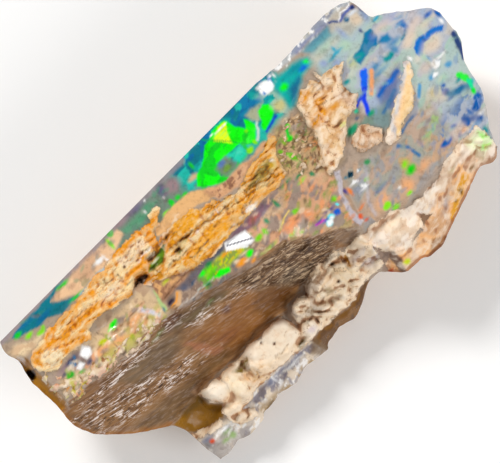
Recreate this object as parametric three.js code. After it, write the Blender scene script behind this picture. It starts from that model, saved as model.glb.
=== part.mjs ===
// Rough opal: an elongated block of opalised wood, about 47 mm long, lying on its flat broken underside.
// Millimetres, +Z up. The length runs along X; the long straight edge lies at +Y, the broken flank at -Y.
// The stone is one closed solid: uneven ground for its top, a ring of undercut walls and a flat base.

import * as THREE from 'three';
import { ParametricGeometry } from 'three/addons/geometries/ParametricGeometry.js';
import { mergeGeometries, mergeVertices } from 'three/addons/utils/BufferGeometryUtils.js';

// ---------------------------------------------------------------- grid of the surface

const CELLS_LONG = 68; // cells of the top patch from the left end to the right end
const CELLS_WIDE = 31; // cells of the top patch from the straight edge to the front edge
const WALL_ROWS = 10; // rows of cells down each wall

// ---------------------------------------------------------------- outline seen from above, [x, y]

const BACK_EDGE = [
  [-21.8, 8.05], [9.5, 8.7], [12, 8.55], [15, 8.8], [17.5, 8.9], [19, 8.6], [19.7, 8.2],
];
const RIGHT_END = [
  [19.7, 8.2], [20, 6.4], [21, 5.5], [22.2, 4.6], [23.8, 3.4], [24.3, 3.1], [24.6, 2.2], [24.5, 0],
  [24.2, -0.9], [23.3, -2.1], [22.6, -5], [21.8, -6.5], [20.8, -7.8], [20.2, -9.5],
];
const LEFT_END = [
  [-21.8, 8.05], [-22.1, 7.3], [-21.8, 6], [-22.35, 3.6], [-22.3, -1.4], [-21.7, -3], [-20.9, -4],
  [-19.2, -5.5], [-18, -6.3], [-16.3, -7.4], [-15.8, -8.5], [-15.65, -11], [-15.4, -12.3],
];
const FRONT_EDGE = [
  [-15.4, -12.3], [-14.5, -12.5], [-13.2, -12.15], [-12.1, -12.65], [-10.3, -12.4], [-9.9, -11.95],
  [-7.9, -11.8], [-6.3, -12.2], [-4.7, -11.7], [-2.1, -12], [-2, -11.6], [-0.2, -11.25], [1.4, -11.7],
  [3, -11], [4.2, -10.25], [5.5, -10.2], [7.2, -11.85], [9.2, -12], [11, -12.4], [13.5, -11.4],
  [16, -10.5], [17.5, -9.85], [18.2, -9.8], [19, -10.3], [19.6, -10.2], [20.2, -9.5],
];

// ---------------------------------------------------------------- lines that run along the stone, [x, y, z]

// Where the top face breaks over into the flank.
const RIDGE = [
  [-22.5, 0.2, 14.3], [-18, 0.2, 14.8], [-14.5, -0.3, 15], [-10.5, 0, 15], [-8, -0.6, 15],
  [-5, -1.3, 15], [-2, -2.2, 15], [1.5, -2.4, 15], [3, -3.6, 14.9], [5, -4.8, 14.8], [6.8, -6, 14.6],
  [9, -6.9, 14.5], [13, -7.4, 14.4], [16, -7.2, 14.3], [19, -6.7, 14], [24.7, -9.5, 13],
];
// Halfway down the hollow flank; on the right, the back of the ledge.
const MID_FLANK = [
  [-22.5, -2.5, 11.6], [-18, -3.2, 11], [-10.5, -3.6, 10.3], [-5, -4.2, 10.6], [-2, -4.6, 11],
  [1.5, -4.7, 11.6], [3, -5.2, 12], [5, -6, 12.6], [6.8, -6.8, 13.3], [9, -7.4, 13.4],
  [13, -8, 13.3], [16, -7.7, 13.2], [19, -7.5, 13], [24.7, -10.5, 12],
];
// Foot of the flank; on the right, the jagged lip of the ledge.
const FOOT = [
  [-22.5, -6.3, 7.8], [-18, -6.9, 7.2], [-14.5, -6.9, 6.6], [-5, -7, 6.6], [-2, -6.9, 7.2],
  [1.5, -6.4, 8.4], [3, -6.4, 9], [5, -7.2, 9.6], [6.9, -8.6, 12.4], [7.6, -9.9, 12.4], [9, -10.4, 12.3],
  [9.8, -9.9, 12.3], [11, -10, 12.2], [11.4, -9, 12.4], [12.2, -9.7, 12.2], [13.5, -9.1, 12.3],
  [15.3, -8.5, 12.4], [17, -7.9, 12.6], [19, -7.9, 12.5], [24.7, -12, 12],
];
// Outer side of the cream terrace; on the right, straight below the lip.
const TERRACE = [
  [-22.5, -9, 5.4], [-14.5, -9.6, 5.2], [-10.5, -9.9, 5.2], [-5, -10, 5.2], [1.5, -9.8, 5.8],
  [4, -9.9, 6.4], [6.2, -9.9, 8.5], [7.4, -10.5, 10.4], [9, -10.9, 10.6], [11, -10.5, 10.6],
  [12.2, -10.2, 10.7], [13.5, -9.6, 10.8], [15.3, -9, 11], [17, -8.4, 11.2], [19, -8.4, 11.2],
  [24.7, -13, 10],
];
// Top of the front wall.
const RIM = [
  [-22.5, -13, 3.2], [-15.4, -12.4, 3.2], [-10, -12.3, 3.3], [-2.2, -12.1, 3.4], [1.4, -11.8, 3.4],
  [4.2, -10.4, 4.6], [5.5, -10.5, 5.6], [7.2, -12, 7.2], [11, -12.5, 7], [13.5, -11.5, 7.4],
  [16, -10.7, 8], [17.5, -10.1, 8.5], [19.4, -10.4, 8.8], [24.7, -14, 8],
];
const FACE_HEIGHT = 15;
const FACE_RISE_WIDTH = 3; // the face reaches its full height this far behind the ridge

// ---------------------------------------------------------------- matrix standing proud of its surroundings

const LEFT_SEAM = [
  [-21, 5.2], [-17.8, 6], [-14, 6.1], [-12.3, 6.5], [-9.5, 6.8], [-5.6, 6.6], [-4.3, 7.15], [-4, 6.8],
  [-6.2, 4.9], [-8.2, 4.3], [-9.5, 3.7], [-11, 3.15], [-13.5, 3.6], [-15.7, 3.3], [-16, 2.7],
  [-18.5, 3.2], [-20, 2.9], [-21.3, 4.5],
];
const MIDDLE_SEAM = [
  [-9, 2.9], [-7, 3.2], [-5, 4.9], [-4, 5.1], [-2.3, 4.9], [-0.3, 4.3], [1.5, 3.2], [3, 3.7], [5, 4.2],
  [7.4, 4.4], [6, 3.4], [5.6, 1.5], [5, 1.1], [1, 0.95], [-3.8, 0.8], [-6, 1.2], [-8.5, 2.3],
];
const PORE_MASS = [
  [10.3, 5], [12.5, 5.7], [15.5, 4.9], [14.8, 4], [14.2, 3.6], [14.3, 2.5], [15, 2.2], [13.2, 1.2],
  [11.8, 0.3], [10.8, -0.5], [9, -1.3], [8.2, -1.2], [8.3, -0.2], [9.6, 2],
];
const TAN_PATCH = [[11.4, -0.7], [13, -0.2], [14.1, -1.7], [13.5, -2.2], [11.4, -1.9]];
const CREAM_VEIN = [
  [13.5, -2.6], [15.2, -1.6], [16, -0.8], [17.5, -0.2], [19.6, 1.4], [19.8, 0.9], [18, -1.6],
  [16, -2.4], [13.6, -3],
];
const TERRACE_MASS = [
  [-12.9, -6.95], [-8, -7.1], [-3.2, -7.1], [-2.9, -8.8], [-2.2, -7.1], [-0.3, -7.1], [0.2, -6.4],
  [4, -6.2], [6.6, -6.7], [6.4, -9.9], [4, -9.9], [2.4, -10.4], [-2.8, -10.35], [-8.6, -10],
  [-12.4, -10.3], [-11.8, -9],
];
const SEAMS = [
  { outline: LEFT_SEAM, rise: 0.45 },
  { outline: MIDDLE_SEAM, rise: 0.4 },
  { outline: PORE_MASS, rise: 0.7 },
  { outline: TAN_PATCH, rise: 0.35 },
  { outline: CREAM_VEIN, rise: 0.45 },
  { outline: TERRACE_MASS, rise: 0.9 },
];
const SEAM_EDGE = 0.35; // half width of a seam's sloping border

// ---------------------------------------------------------------- lumps, pits, dishes and ribs

// Rounded lumps of matrix: centre, half sizes and height, with a squareness from 1 (dome) to 3 (block).
const LUMPS = [
  { x: -11.7, y: -7.9, halfX: 1.5, halfY: 1.4, height: 1.0, square: 2 },
  { x: -9.7, y: -8.5, halfX: 1.3, halfY: 1.6, height: 0.7, square: 2 },
  { x: -5.6, y: -8.4, halfX: 3.0, halfY: 1.9, height: 1.2, square: 3 },
  { x: -7.9, y: -9.1, halfX: 1.2, halfY: 1.2, height: 0.5, square: 1 },
  { x: -12.0, y: -10.3, halfX: 1.3, halfY: 1.3, height: 0.6, square: 1 },
  { x: -1.5, y: -7.9, halfX: 1.5, halfY: 1.4, height: 0.7, square: 2 },
  { x: -2.1, y: -9.6, halfX: 1.0, halfY: 0.9, height: 0.6, square: 1 },
  { x: 1.3, y: -7.9, halfX: 1.8, halfY: 1.6, height: 0.7, square: 1 },
  { x: 3.4, y: -8.5, halfX: 1.6, halfY: 1.6, height: 0.7, square: 1 },
  { x: 5.6, y: -8.0, halfX: 1.4, halfY: 1.6, height: 0.5, square: 1 },
  { x: -14.5, y: -11.2, halfX: 1.3, halfY: 1.1, height: 0.7, square: 1 },
  { x: -11.0, y: -11.5, halfX: 1.5, halfY: 1.1, height: 0.6, square: 1 },
  { x: -8.6, y: -11.0, halfX: 1.5, halfY: 0.9, height: 0.6, square: 1 },
  { x: -5.2, y: -11.0, halfX: 1.5, halfY: 0.9, height: 0.6, square: 1 },
  { x: 8.6, y: -8.6, halfX: 1.8, halfY: 1.4, height: 0.6, square: 1 },
  { x: 13.2, y: -8.4, halfX: 2.2, halfY: 1.1, height: 0.5, square: 1 },
  { x: 16.8, y: -7.8, halfX: 2.0, halfY: 0.9, height: 0.5, square: 1 },
  { x: 19.4, y: -8.6, halfX: 1.1, halfY: 1.2, height: 0.6, square: 1 },
  { x: 10.8, y: 3.8, halfX: 1.4, halfY: 1.6, height: 0.45, square: 1 },
  { x: 12.9, y: 2.6, halfX: 1.3, halfY: 1.5, height: 0.4, square: 1 },
  { x: -19.3, y: 4.2, halfX: 1.5, halfY: 1.2, height: 0.3, square: 1 },
];
// Hollows: broken-out pockets between the lumps, shell-like breaks of the clear opal, and small holes.
const HOLLOWS = [
  { x: -14.2, y: -8.3, halfX: 2.4, halfY: 1.9, height: -1.2, square: 2 },
  { x: -8.4, y: -7.9, halfX: 1.0, halfY: 0.6, height: -0.8, square: 1 },
  { x: 4.2, y: -7.3, halfX: 0.5, halfY: 1.0, height: -0.7, square: 1 },
  { x: -3.4, y: -9.9, halfX: 0.8, halfY: 0.6, height: -0.7, square: 1 },
  { x: -9.6, y: 3.5, halfX: 1.1, halfY: 0.8, height: -1.0, square: 1 },
  { x: -14.2, y: 2.5, halfX: 2.2, halfY: 1.0, height: -0.5, square: 1 },
  { x: 4.3, y: 2.8, halfX: 1.9, halfY: 0.8, height: -0.7, square: 1 },
  { x: 3.2, y: -1.4, halfX: 3.6, halfY: 2.2, height: -0.6, square: 1 },
  { x: 7.6, y: 1.6, halfX: 2.4, halfY: 3.2, height: -0.5, square: 1 },
  { x: 16.6, y: 1.6, halfX: 3.4, halfY: 2.6, height: -0.25, square: 1 },
  { x: 18.0, y: -4.0, halfX: 4.6, halfY: 2.8, height: -0.7, square: 1 },
  { x: 11.6, y: -4.6, halfX: 3.6, halfY: 2.4, height: -0.6, square: 1 },
  { x: 17.3, y: 6.4, halfX: 2.6, halfY: 1.6, height: -0.15, square: 1 },
  { x: 4.6, y: 6.8, halfX: 4.6, halfY: 1.6, height: -0.2, square: 1 },
];
// Sharp narrow ribs, as [start, end] with a half width and a height.
const RIBS = [
  { from: [9, -1.4], to: [7.5, -6], halfWidth: 0.7, height: 0.6 },
  { from: [14.5, -10], to: [18, -7.9], halfWidth: 0.8, height: 0.8 },
  { from: [-20.8, -2.2], to: [-11, -4.1], halfWidth: 0.8, height: 0.3 },
  { from: [-18.5, -4.6], to: [-4, -5.6], halfWidth: 0.8, height: 0.25 },
  { from: [-3, -2.9], to: [3.5, -5.2], halfWidth: 0.7, height: 0.4 },
];

// The amber rim at the left end lies below the top face.
const END_RIM = { insideX: -21.2, outsideX: -21.8, lowY: -0.4, highY: 6.3, fade: 0.8, drop: 2.6 };
const EDGE_ROUNDING = { drop: 0.4, width: 0.8 }; // the surface falls a little where it reaches the outline

// ---------------------------------------------------------------- roughness

const FACE_ROUGHNESS = { depth: 0.06, waveX: 2.6, waveY: 2.1 };
const MATRIX_ROUGHNESS = { depth: 0.24, wave: 1.5 };
const FLANK_ROUGHNESS = { depth: 0.15, along: 6, across: 0.9 }; // waves along the wood grain and across it
const GRAIN_SLOPE = -0.19; // the grain falls towards -Y along the stone
const RIDGE_FADE = 1; // width over which one kind of roughness gives way to the next at the ridge
const FLANK_END = { fromX: 3, toX: 8 }; // where the woody flank gives way to the matrix ledge
const TERRACE_FADE = { from: 1.5, to: 3 }; // distances past mid flank where the matrix takes over
// The number that sets each kind of noise apart.
const NOISE = { face: 51, matrix: 31, flank: 41, wallHollows: 71, wallSteps: 72 };

// ---------------------------------------------------------------- walls and base

// How far the base lies inside the outline on each side.
const UNDERCUT = { back: 1.3, right: 3.4, front: 1.3, left: 2.8 };
const UNDERCUT_CURVE = 1.4; // above 1, the wall starts steep and draws in towards its foot
const BASE_SMOOTHING = 7; // ring points each side that even out the base's outline
const WALL_FADE = 0.3; // the walls' relief and cuts grow over this share of their height
const WALL_HOLLOWS = { depth: 1.3, wave: 5 }; // broad shell-like hollows
const WALL_STEPS = { depth: 0.45, wave: 2.2, flatness: 2.5 }; // small level steps, drawn out along the stone

const SPINE = { fromX: -12, toX: 14, y: -1.5 }; // middle line that the walls are drawn in towards

// Broad fracture faces that cut the walls back: a point on each face and its outward direction.
const FRACTURES = [
  { point: [-8, 8.1, 9], outward: [-0.1, 1, -0.1] },
  { point: [-15, 6.9, 4.5], outward: [-0.3, 1, -0.5] },
  { point: [13, 8, 10], outward: [0.16, 1, -0.25] },
  { point: [3, 6.2, 1], outward: [0.06, 1, -1.1] },
  { point: [-21.3, 6.6, 9], outward: [-1, 0.8, -0.15] },
  { point: [18.6, 6.9, 8], outward: [0.7, 1, -0.3] },
  { point: [22.2, 3.2, 7], outward: [1, 0.75, -0.35] },
  { point: [23.4, 0, 11], outward: [1, 0.1, -0.2] },
  { point: [21.6, -5, 7], outward: [1, -0.35, -0.45] },
  { point: [18.6, -8, 4], outward: [0.7, -1, -0.5] },
  { point: [-20.6, 2, 5], outward: [-1, 0.1, -0.45] },
  { point: [-18.9, -6, 3.4], outward: [-1, -1.05, -0.6] },
  { point: [12, -9.8, 4], outward: [0.2, -1, -0.55] },
  { point: [-7, -10.9, 1.2], outward: [-0.1, -1, -0.8] },
];

const OPAL = new THREE.MeshStandardMaterial({ name: 'opal', color: 0xa89078, roughness: 0.45, metalness: 0 });

// ---------------------------------------------------------------- helpers

const { clamp, smoothstep, lerp } = THREE.MathUtils;

// A repeatable number from -1 to 1 for each whole-number place.
function latticeValue(x, y, z, kind) {
  let h = Math.imul(x, 374761393) + Math.imul(y, 668265263);
  h += Math.imul(z, 1103515245) + Math.imul(kind, 974634777);
  h = Math.imul(h ^ (h >>> 13), 1274126177);
  return ((h ^ (h >>> 16)) & 0xffff) / 32767.5 - 1;
}

// Smooth noise from -1 to 1.
function noise(kind, x, y, z = 0) {
  const [x0, y0, z0] = [x, y, z].map(Math.floor);
  const [tx, ty, tz] = [x - x0, y - y0, z - z0].map((t) => THREE.MathUtils.smootherstep(t, 0, 1));
  const corner = (i, j, k) => latticeValue(x0 + i, y0 + j, z0 + k, kind);
  const row = (j, k) => lerp(corner(0, j, k), corner(1, j, k), tx);
  return lerp(lerp(row(0, 0), row(1, 0), ty), lerp(row(0, 1), row(1, 1), ty), tz);
}

// Points spaced evenly along a side, each corner of the side keeping a point of its own.
function sampleSide(corners, cells) {
  const points = new THREE.Path(corners.map(([x, y]) => new THREE.Vector2(x, y))).getSpacedPoints(cells);
  for (const [x, y] of corners.slice(1, -1)) {
    const corner = new THREE.Vector2(x, y);
    let nearest = 1;
    for (let i = 1; i < cells; i++) {
      if (points[i].distanceTo(corner) < points[nearest].distanceTo(corner)) nearest = i;
    }
    points[nearest].copy(corner);
  }
  return points;
}

// The y and z of a line along the stone at one x.
function lineAt(line, x) {
  let i = 1;
  while (i < line.length - 1 && line[i][0] < x) i++;
  const [x0, y0, z0] = line[i - 1];
  const [x1, y1, z1] = line[i];
  const t = clamp((x - x0) / (x1 - x0), 0, 1);
  return { y: y0 + (y1 - y0) * t, z: z0 + (z1 - z0) * t };
}

function distanceToSegment(x, y, [ax, ay], [bx, by]) {
  const t = clamp(((x - ax) * (bx - ax) + (y - ay) * (by - ay)) / ((bx - ax) ** 2 + (by - ay) ** 2), 0, 1);
  return Math.hypot(x - ax - t * (bx - ax), y - ay - t * (by - ay));
}

// Distance to the border of an outline, positive inside it.
function depthInside(outline, x, y) {
  let inside = false;
  let distance = Infinity;
  for (let i = 0; i < outline.length; i++) {
    const a = outline[i];
    const b = outline[(i + 1) % outline.length];
    distance = Math.min(distance, distanceToSegment(x, y, a, b));
    const crosses = (a[1] > y) !== (b[1] > y) && x < a[0] + ((b[0] - a[0]) * (y - a[1])) / (b[1] - a[1]);
    if (crosses) inside = !inside;
  }
  return inside ? distance : -distance;
}

// A rise that is full at its centre and fades out at its ellipse; a higher squareness gives a flatter top.
function bump({ x: cx, y: cy, halfX, halfY, height, square }, x, y) {
  const r = Math.hypot((x - cx) / halfX, (y - cy) / halfY);
  return r < 1 ? height * (1 - r ** (2 * square)) ** 1.5 : 0;
}

function rib({ from, to, halfWidth, height }, x, y) {
  return height * Math.max(0, 1 - distanceToSegment(x, y, from, to) / halfWidth);
}

// ---------------------------------------------------------------- the top surface

const outline = [
  ...BACK_EDGE, ...RIGHT_END.slice(1), ...FRONT_EDGE.slice(1, -1).reverse(), ...LEFT_END.slice(1).reverse(),
];

// The bare run of the ground at one place: the face, then the lines down the front.
function groundHeight(x, y) {
  const stops = [RIDGE, MID_FLANK, FOOT, TERRACE, RIM].map((line) => lineAt(line, x));
  if (y >= stops[0].y) {
    const behindRidge = smoothstep(y, stops[0].y, stops[0].y + FACE_RISE_WIDTH);
    return stops[0].z + (FACE_HEIGHT - stops[0].z) * behindRidge;
  }
  for (let i = 1; i < stops.length; i++) {
    if (y >= stops[i].y) {
      const t = (stops[i - 1].y - y) / (stops[i - 1].y - stops[i].y);
      return stops[i - 1].z + (stops[i].z - stops[i - 1].z) * t;
    }
  }
  return stops[stops.length - 1].z;
}

function seamRise(x, y) {
  let rise = 0;
  let cover = 0;
  for (const seam of SEAMS) {
    const share = smoothstep(depthInside(seam.outline, x, y), -SEAM_EDGE, SEAM_EDGE);
    rise = Math.max(rise, seam.rise * share);
    cover = Math.max(cover, share);
  }
  return { rise, cover };
}

// Uneven relief: shallow waves on the face, woody waves on the flank, lumpy waves on the matrix.
function relief(x, y, seamCover) {
  const belowRidge = smoothstep(lineAt(RIDGE, x).y - y, 0, RIDGE_FADE);
  const onTerrace = smoothstep(lineAt(MID_FLANK, x).y - y, TERRACE_FADE.from, TERRACE_FADE.to);
  const onLedge = belowRidge * smoothstep(x, FLANK_END.fromX, FLANK_END.toX);
  const matrix = Math.max(seamCover, onTerrace, onLedge);
  const across = (y - GRAIN_SLOPE * x) / FLANK_ROUGHNESS.across;
  const lumpy = noise(NOISE.matrix, x / MATRIX_ROUGHNESS.wave, y / MATRIX_ROUGHNESS.wave);
  const woody = noise(NOISE.flank, x / FLANK_ROUGHNESS.along, across);
  const glassy = noise(NOISE.face, x / FACE_ROUGHNESS.waveX, y / FACE_ROUGHNESS.waveY);
  return MATRIX_ROUGHNESS.depth * matrix * lumpy + FLANK_ROUGHNESS.depth * belowRidge * (1 - matrix) * woody
    + FACE_ROUGHNESS.depth * (1 - belowRidge) * (1 - matrix) * glassy;
}

function endRimDrop(x, y) {
  const { insideX, outsideX, lowY, highY, fade, drop } = END_RIM;
  const beyond = smoothstep(-x, -insideX, -outsideX);
  const along = smoothstep(y, lowY, lowY + fade) * (1 - smoothstep(y, highY - fade, highY));
  return drop * beyond * along;
}

function topHeight(x, y) {
  const seam = seamRise(x, y);
  let z = groundHeight(x, y) + seam.rise + relief(x, y, seam.cover) - endRimDrop(x, y);
  for (const shape of [...LUMPS, ...HOLLOWS]) z += bump(shape, x, y);
  for (const shape of RIBS) z += rib(shape, x, y);
  const fromOutline = Math.abs(depthInside(outline, x, y));
  return z - EDGE_ROUNDING.drop * (1 - smoothstep(fromOutline, 0, EDGE_ROUNDING.width));
}

const back = sampleSide(BACK_EDGE, CELLS_LONG);
const front = sampleSide(FRONT_EDGE, CELLS_LONG);
const left = sampleSide(LEFT_END, CELLS_WIDE);
const right = sampleSide(RIGHT_END, CELLS_WIDE);

// The place in plan of one grid point, blended from the four sides of the outline.
function planPoint(i, j) {
  const u = i / CELLS_LONG;
  const v = j / CELLS_WIDE;
  const blend = (axis) =>
    (1 - v) * back[i][axis] + v * front[i][axis] + (1 - u) * left[j][axis] + u * right[j][axis]
    - (1 - u) * (1 - v) * back[0][axis] - u * (1 - v) * back[CELLS_LONG][axis]
    - (1 - u) * v * front[0][axis] - u * v * front[CELLS_LONG][axis];
  return new THREE.Vector2(blend('x'), blend('y'));
}

function topPoint(u, v, target) {
  const { x, y } = planPoint(Math.round(u * CELLS_LONG), CELLS_WIDE - Math.round(v * CELLS_WIDE));
  target.set(x, y, topHeight(x, y));
}

// ---------------------------------------------------------------- the walls and the base

// The border of the top patch, once round: back, right end, front, left end.
function ringPoints() {
  const ring = [];
  for (let i = 0; i < CELLS_LONG; i++) ring.push(planPoint(i, 0));
  for (let j = 0; j < CELLS_WIDE; j++) ring.push(planPoint(CELLS_LONG, j));
  for (let i = CELLS_LONG; i > 0; i--) ring.push(planPoint(i, CELLS_WIDE));
  for (let j = CELLS_WIDE; j > 0; j--) ring.push(planPoint(0, j));
  return ring;
}

const ring = ringPoints();
const ringAt = (k) => ring[(k + ring.length) % ring.length];

// The base's outline: the ring evened out and drawn in on each side.
function basePoint(k) {
  const mean = new THREE.Vector2();
  for (let n = -BASE_SMOOTHING; n <= BASE_SMOOTHING; n++) mean.add(ringAt(k + n));
  mean.divideScalar(2 * BASE_SMOOTHING + 1);
  const along = ringAt(k + BASE_SMOOTHING).clone().sub(ringAt(k - BASE_SMOOTHING)).normalize();
  const outward = new THREE.Vector2(-along.y, along.x);
  const inset =
    UNDERCUT.back * Math.max(0, outward.y) ** 2 + UNDERCUT.front * Math.max(0, -outward.y) ** 2
    + UNDERCUT.right * Math.max(0, outward.x) ** 2 + UNDERCUT.left * Math.max(0, -outward.x) ** 2;
  return mean.addScaledVector(outward, -inset);
}

const base = ring.map((point, k) => basePoint(k));

// How far a wall is worn in at one place.
function wallRelief({ x, y, z }) {
  const { depth, wave } = WALL_HOLLOWS;
  const hollow = depth * Math.abs(noise(NOISE.wallHollows, x / wave, y / wave, z / wave));
  const along = WALL_STEPS.wave * WALL_STEPS.flatness;
  const stepped = noise(NOISE.wallSteps, x / along, y / along, z / WALL_STEPS.wave);
  const step = WALL_STEPS.depth * Math.max(0, 0.5 + stepped);
  return hollow + step;
}

// The share of the way from the spine that lies inside every fracture face.
function shareInside(spine, reach) {
  let keep = 1;
  for (const face of FRACTURES) {
    const outward = new THREE.Vector3(...face.outward);
    const room = new THREE.Vector3(...face.point).sub(spine).dot(outward);
    const needed = reach.dot(outward);
    if (needed > room) keep = Math.min(keep, room / needed);
  }
  return keep;
}

// Wall points are worn in and cut back level with themselves, straight towards the spine.
function wallPoint(u, v, target) {
  const k = Math.round(u * ring.length) % ring.length;
  const start = ring[k];
  const plan = start.clone().lerp(base[k], v ** UNDERCUT_CURVE);
  target.set(plan.x, plan.y, topHeight(start.x, start.y) * (1 - v));
  const spine = new THREE.Vector3(clamp(target.x, SPINE.fromX, SPINE.toX), SPINE.y, target.z);
  const reach = target.clone().sub(spine);
  const fade = smoothstep(v, 0, WALL_FADE);
  reach.multiplyScalar(1 - (fade * wallRelief(target)) / reach.length());
  const kept = 1 - fade * (1 - shareInside(spine, reach));
  if (v > 0) target.copy(spine).addScaledVector(reach, kept);
}

function lowestWallPoints() {
  const point = new THREE.Vector3();
  return ring.map((start, k) => {
    wallPoint(k / ring.length, 1, point);
    return new THREE.Vector2(point.x, point.y);
  });
}

// ---------------------------------------------------------------- the stone

function stoneGeometry() {
  const top = new ParametricGeometry(topPoint, CELLS_LONG, CELLS_WIDE);
  const walls = new ParametricGeometry(wallPoint, ring.length, WALL_ROWS);
  const underside = new THREE.ShapeGeometry(new THREE.Shape(lowestWallPoints()));
  underside.index.array.reverse(); // turns its faces down
  const parts = [top, walls, underside];
  for (const geometry of parts) {
    geometry.deleteAttribute('normal');
    geometry.deleteAttribute('uv');
  }
  return mergeVertices(mergeGeometries(parts));
}

const geometry = stoneGeometry();
geometry.computeBoundingBox();
const centre = geometry.boundingBox.getCenter(new THREE.Vector3());
geometry.computeVertexNormals();

const stone = new THREE.Mesh(geometry, OPAL);
stone.name = 'rough_opal';
stone.position.set(-centre.x, -centre.y, 0);

const part = new THREE.Group();
part.add(stone);

export default part;
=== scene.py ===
"""Rough opal: the fine surface, materials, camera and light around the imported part.

The stone is modelled in plan millimetres, as the part's source is: X along the stone, Y towards its long
straight edge, Z up from the flat underside. The last step moves it to the row frame, in metres.
"""
import math
from collections import namedtuple

import bpy
import numpy as np
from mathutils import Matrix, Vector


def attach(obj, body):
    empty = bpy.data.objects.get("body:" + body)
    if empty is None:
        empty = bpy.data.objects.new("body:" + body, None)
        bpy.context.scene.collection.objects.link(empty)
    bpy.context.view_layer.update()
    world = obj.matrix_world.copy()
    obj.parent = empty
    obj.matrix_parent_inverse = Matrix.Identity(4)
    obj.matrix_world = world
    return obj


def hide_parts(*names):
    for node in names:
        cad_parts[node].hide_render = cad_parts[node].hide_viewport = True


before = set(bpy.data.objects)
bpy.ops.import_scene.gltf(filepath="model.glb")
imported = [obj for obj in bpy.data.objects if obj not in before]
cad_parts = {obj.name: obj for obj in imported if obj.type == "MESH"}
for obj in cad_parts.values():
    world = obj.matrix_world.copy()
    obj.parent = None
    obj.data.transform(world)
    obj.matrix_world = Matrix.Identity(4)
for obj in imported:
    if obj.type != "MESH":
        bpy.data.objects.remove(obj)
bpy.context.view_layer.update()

MM = 0.001
NODE = "rough_opal"

# ------------------------------------------------------------------ grid of the surface

CELLS_LONG = 384  # cells of the top patch from the left end to the right end
CELLS_WIDE = 170  # and from the straight edge to the front edge
WALL_ROWS = 44  # rows of cells down each wall; each wall cell is two top cells wide
SIDE_ROUNDING = 0.22  # mm each way along the outline that its corners are rounded over
ROUNDING_SHARES = (-1, -0.5, 0, 0.5, 1)  # where that rounding samples the outline
SIDE_WANDER = 0.12  # mm that the outline strays inwards
SIDE_WAVES = [(0.3, 0.9), (0.2, 0.35)]  # shares of that, and over how many mm

# ------------------------------------------------------------------ outline seen from above, (x, y)

BACK_EDGE = [(-21.8, 8.05), (9.5, 8.7), (12, 8.55), (15, 8.8), (17.5, 8.9), (19, 8.6), (19.7, 8.2)]
RIGHT_END = [
    (19.7, 8.2), (19.95, 7.6), (20, 6.4), (20.1, 6), (21, 5.5), (22.2, 4.6), (23.8, 3.4), (24.3, 3.1),
    (24.6, 2.2), (24.45, 0.6), (24.5, 0), (24.2, -0.9), (23.3, -2.1), (23, -3), (22.6, -5), (21.8, -6.5),
    (20.8, -7.8), (20.2, -9.5),
]
LEFT_END = [
    (-21.8, 8.05), (-22.1, 7.3), (-22.1, 6.7), (-21.8, 6), (-22, 5.3), (-22.35, 3.6), (-22.2, 1),
    (-22.3, -1.4), (-22.1, -2.1), (-21.7, -3), (-20.9, -4), (-19.2, -5.5), (-18, -6.3), (-16.3, -7.4),
    (-15.8, -8.5), (-15.65, -11), (-15.4, -12.3),
]
FRONT_EDGE = [
    (-15.4, -12.3), (-14.5, -12.5), (-13.2, -12.15), (-12.1, -12.65), (-10.3, -12.4), (-9.9, -11.95),
    (-9.2, -12.05), (-7.9, -11.8), (-6.3, -12.2), (-4.7, -11.7), (-3.5, -11.9), (-2.1, -12), (-2, -11.6),
    (-0.2, -11.25), (1.4, -11.7), (3, -11), (4.2, -10.25), (5.5, -10.2), (6.6, -11.3), (7.2, -11.85),
    (9.2, -12), (9.4, -12.3), (11, -12.4), (12, -12), (13.5, -11.4), (16, -10.5), (17.5, -9.85),
    (18.2, -9.8), (19, -10.3), (19.6, -10.2), (20.2, -9.5),
]

# ------------------------------------------------------------------ lines along the stone, (x, y, z)

RIDGE = [
    (-22.5, 0.2, 14.3), (-18, 0.2, 14.8), (-14.5, -0.3, 15), (-10.5, 0, 15), (-8, -0.6, 15), (-5, -1.3, 15),
    (-2, -2.2, 15), (1.5, -2.4, 15), (3, -3.6, 14.9), (5, -4.8, 14.8), (6.8, -6, 14.6), (9, -6.9, 14.5),
    (13, -7.4, 14.4), (16, -7.2, 14.3), (19, -6.7, 14), (24.7, -9.5, 13),
]
MID_FLANK = [
    (-22.5, -2.5, 11.6), (-18, -3.2, 11), (-10.5, -3.6, 10.3), (-5, -4.2, 10.6), (-2, -4.6, 11),
    (1.5, -4.7, 11.6), (3, -5.2, 12), (5, -6, 12.6), (6.8, -6.8, 13.3), (9, -7.4, 13.4), (13, -8, 13.3),
    (16, -7.7, 13.2), (19, -7.5, 13), (24.7, -10.5, 12),
]
FOOT = [
    (-22.5, -6.3, 7.8), (-18, -6.9, 7.2), (-14.5, -6.9, 6.6), (-5, -7, 6.6), (-2, -6.9, 7.2),
    (1.5, -6.4, 8.4), (3, -6.4, 9), (5, -7.2, 9.6), (6.9, -8.6, 12.4), (7.6, -9.9, 12.4), (9, -10.4, 12.3),
    (9.8, -9.9, 12.3), (11, -10, 12.2), (11.4, -9, 12.4), (12.2, -9.7, 12.2), (13.5, -9.1, 12.3),
    (15.3, -8.5, 12.4), (17, -7.9, 12.6), (19, -7.9, 12.5), (24.7, -12, 12),
]
TERRACE = [
    (-22.5, -9, 5.4), (-14.5, -9.6, 5.2), (-10.5, -9.9, 5.2), (-5, -10, 5.2), (1.5, -9.8, 5.8),
    (4, -9.9, 6.4), (6.2, -9.9, 8.5), (7.4, -10.5, 10.4), (9, -10.9, 10.6), (11, -10.5, 10.6),
    (12.2, -10.2, 10.7), (13.5, -9.6, 10.8), (15.3, -9, 11), (17, -8.4, 11.2), (19, -8.4, 11.2),
    (24.7, -13, 10),
]
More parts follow.
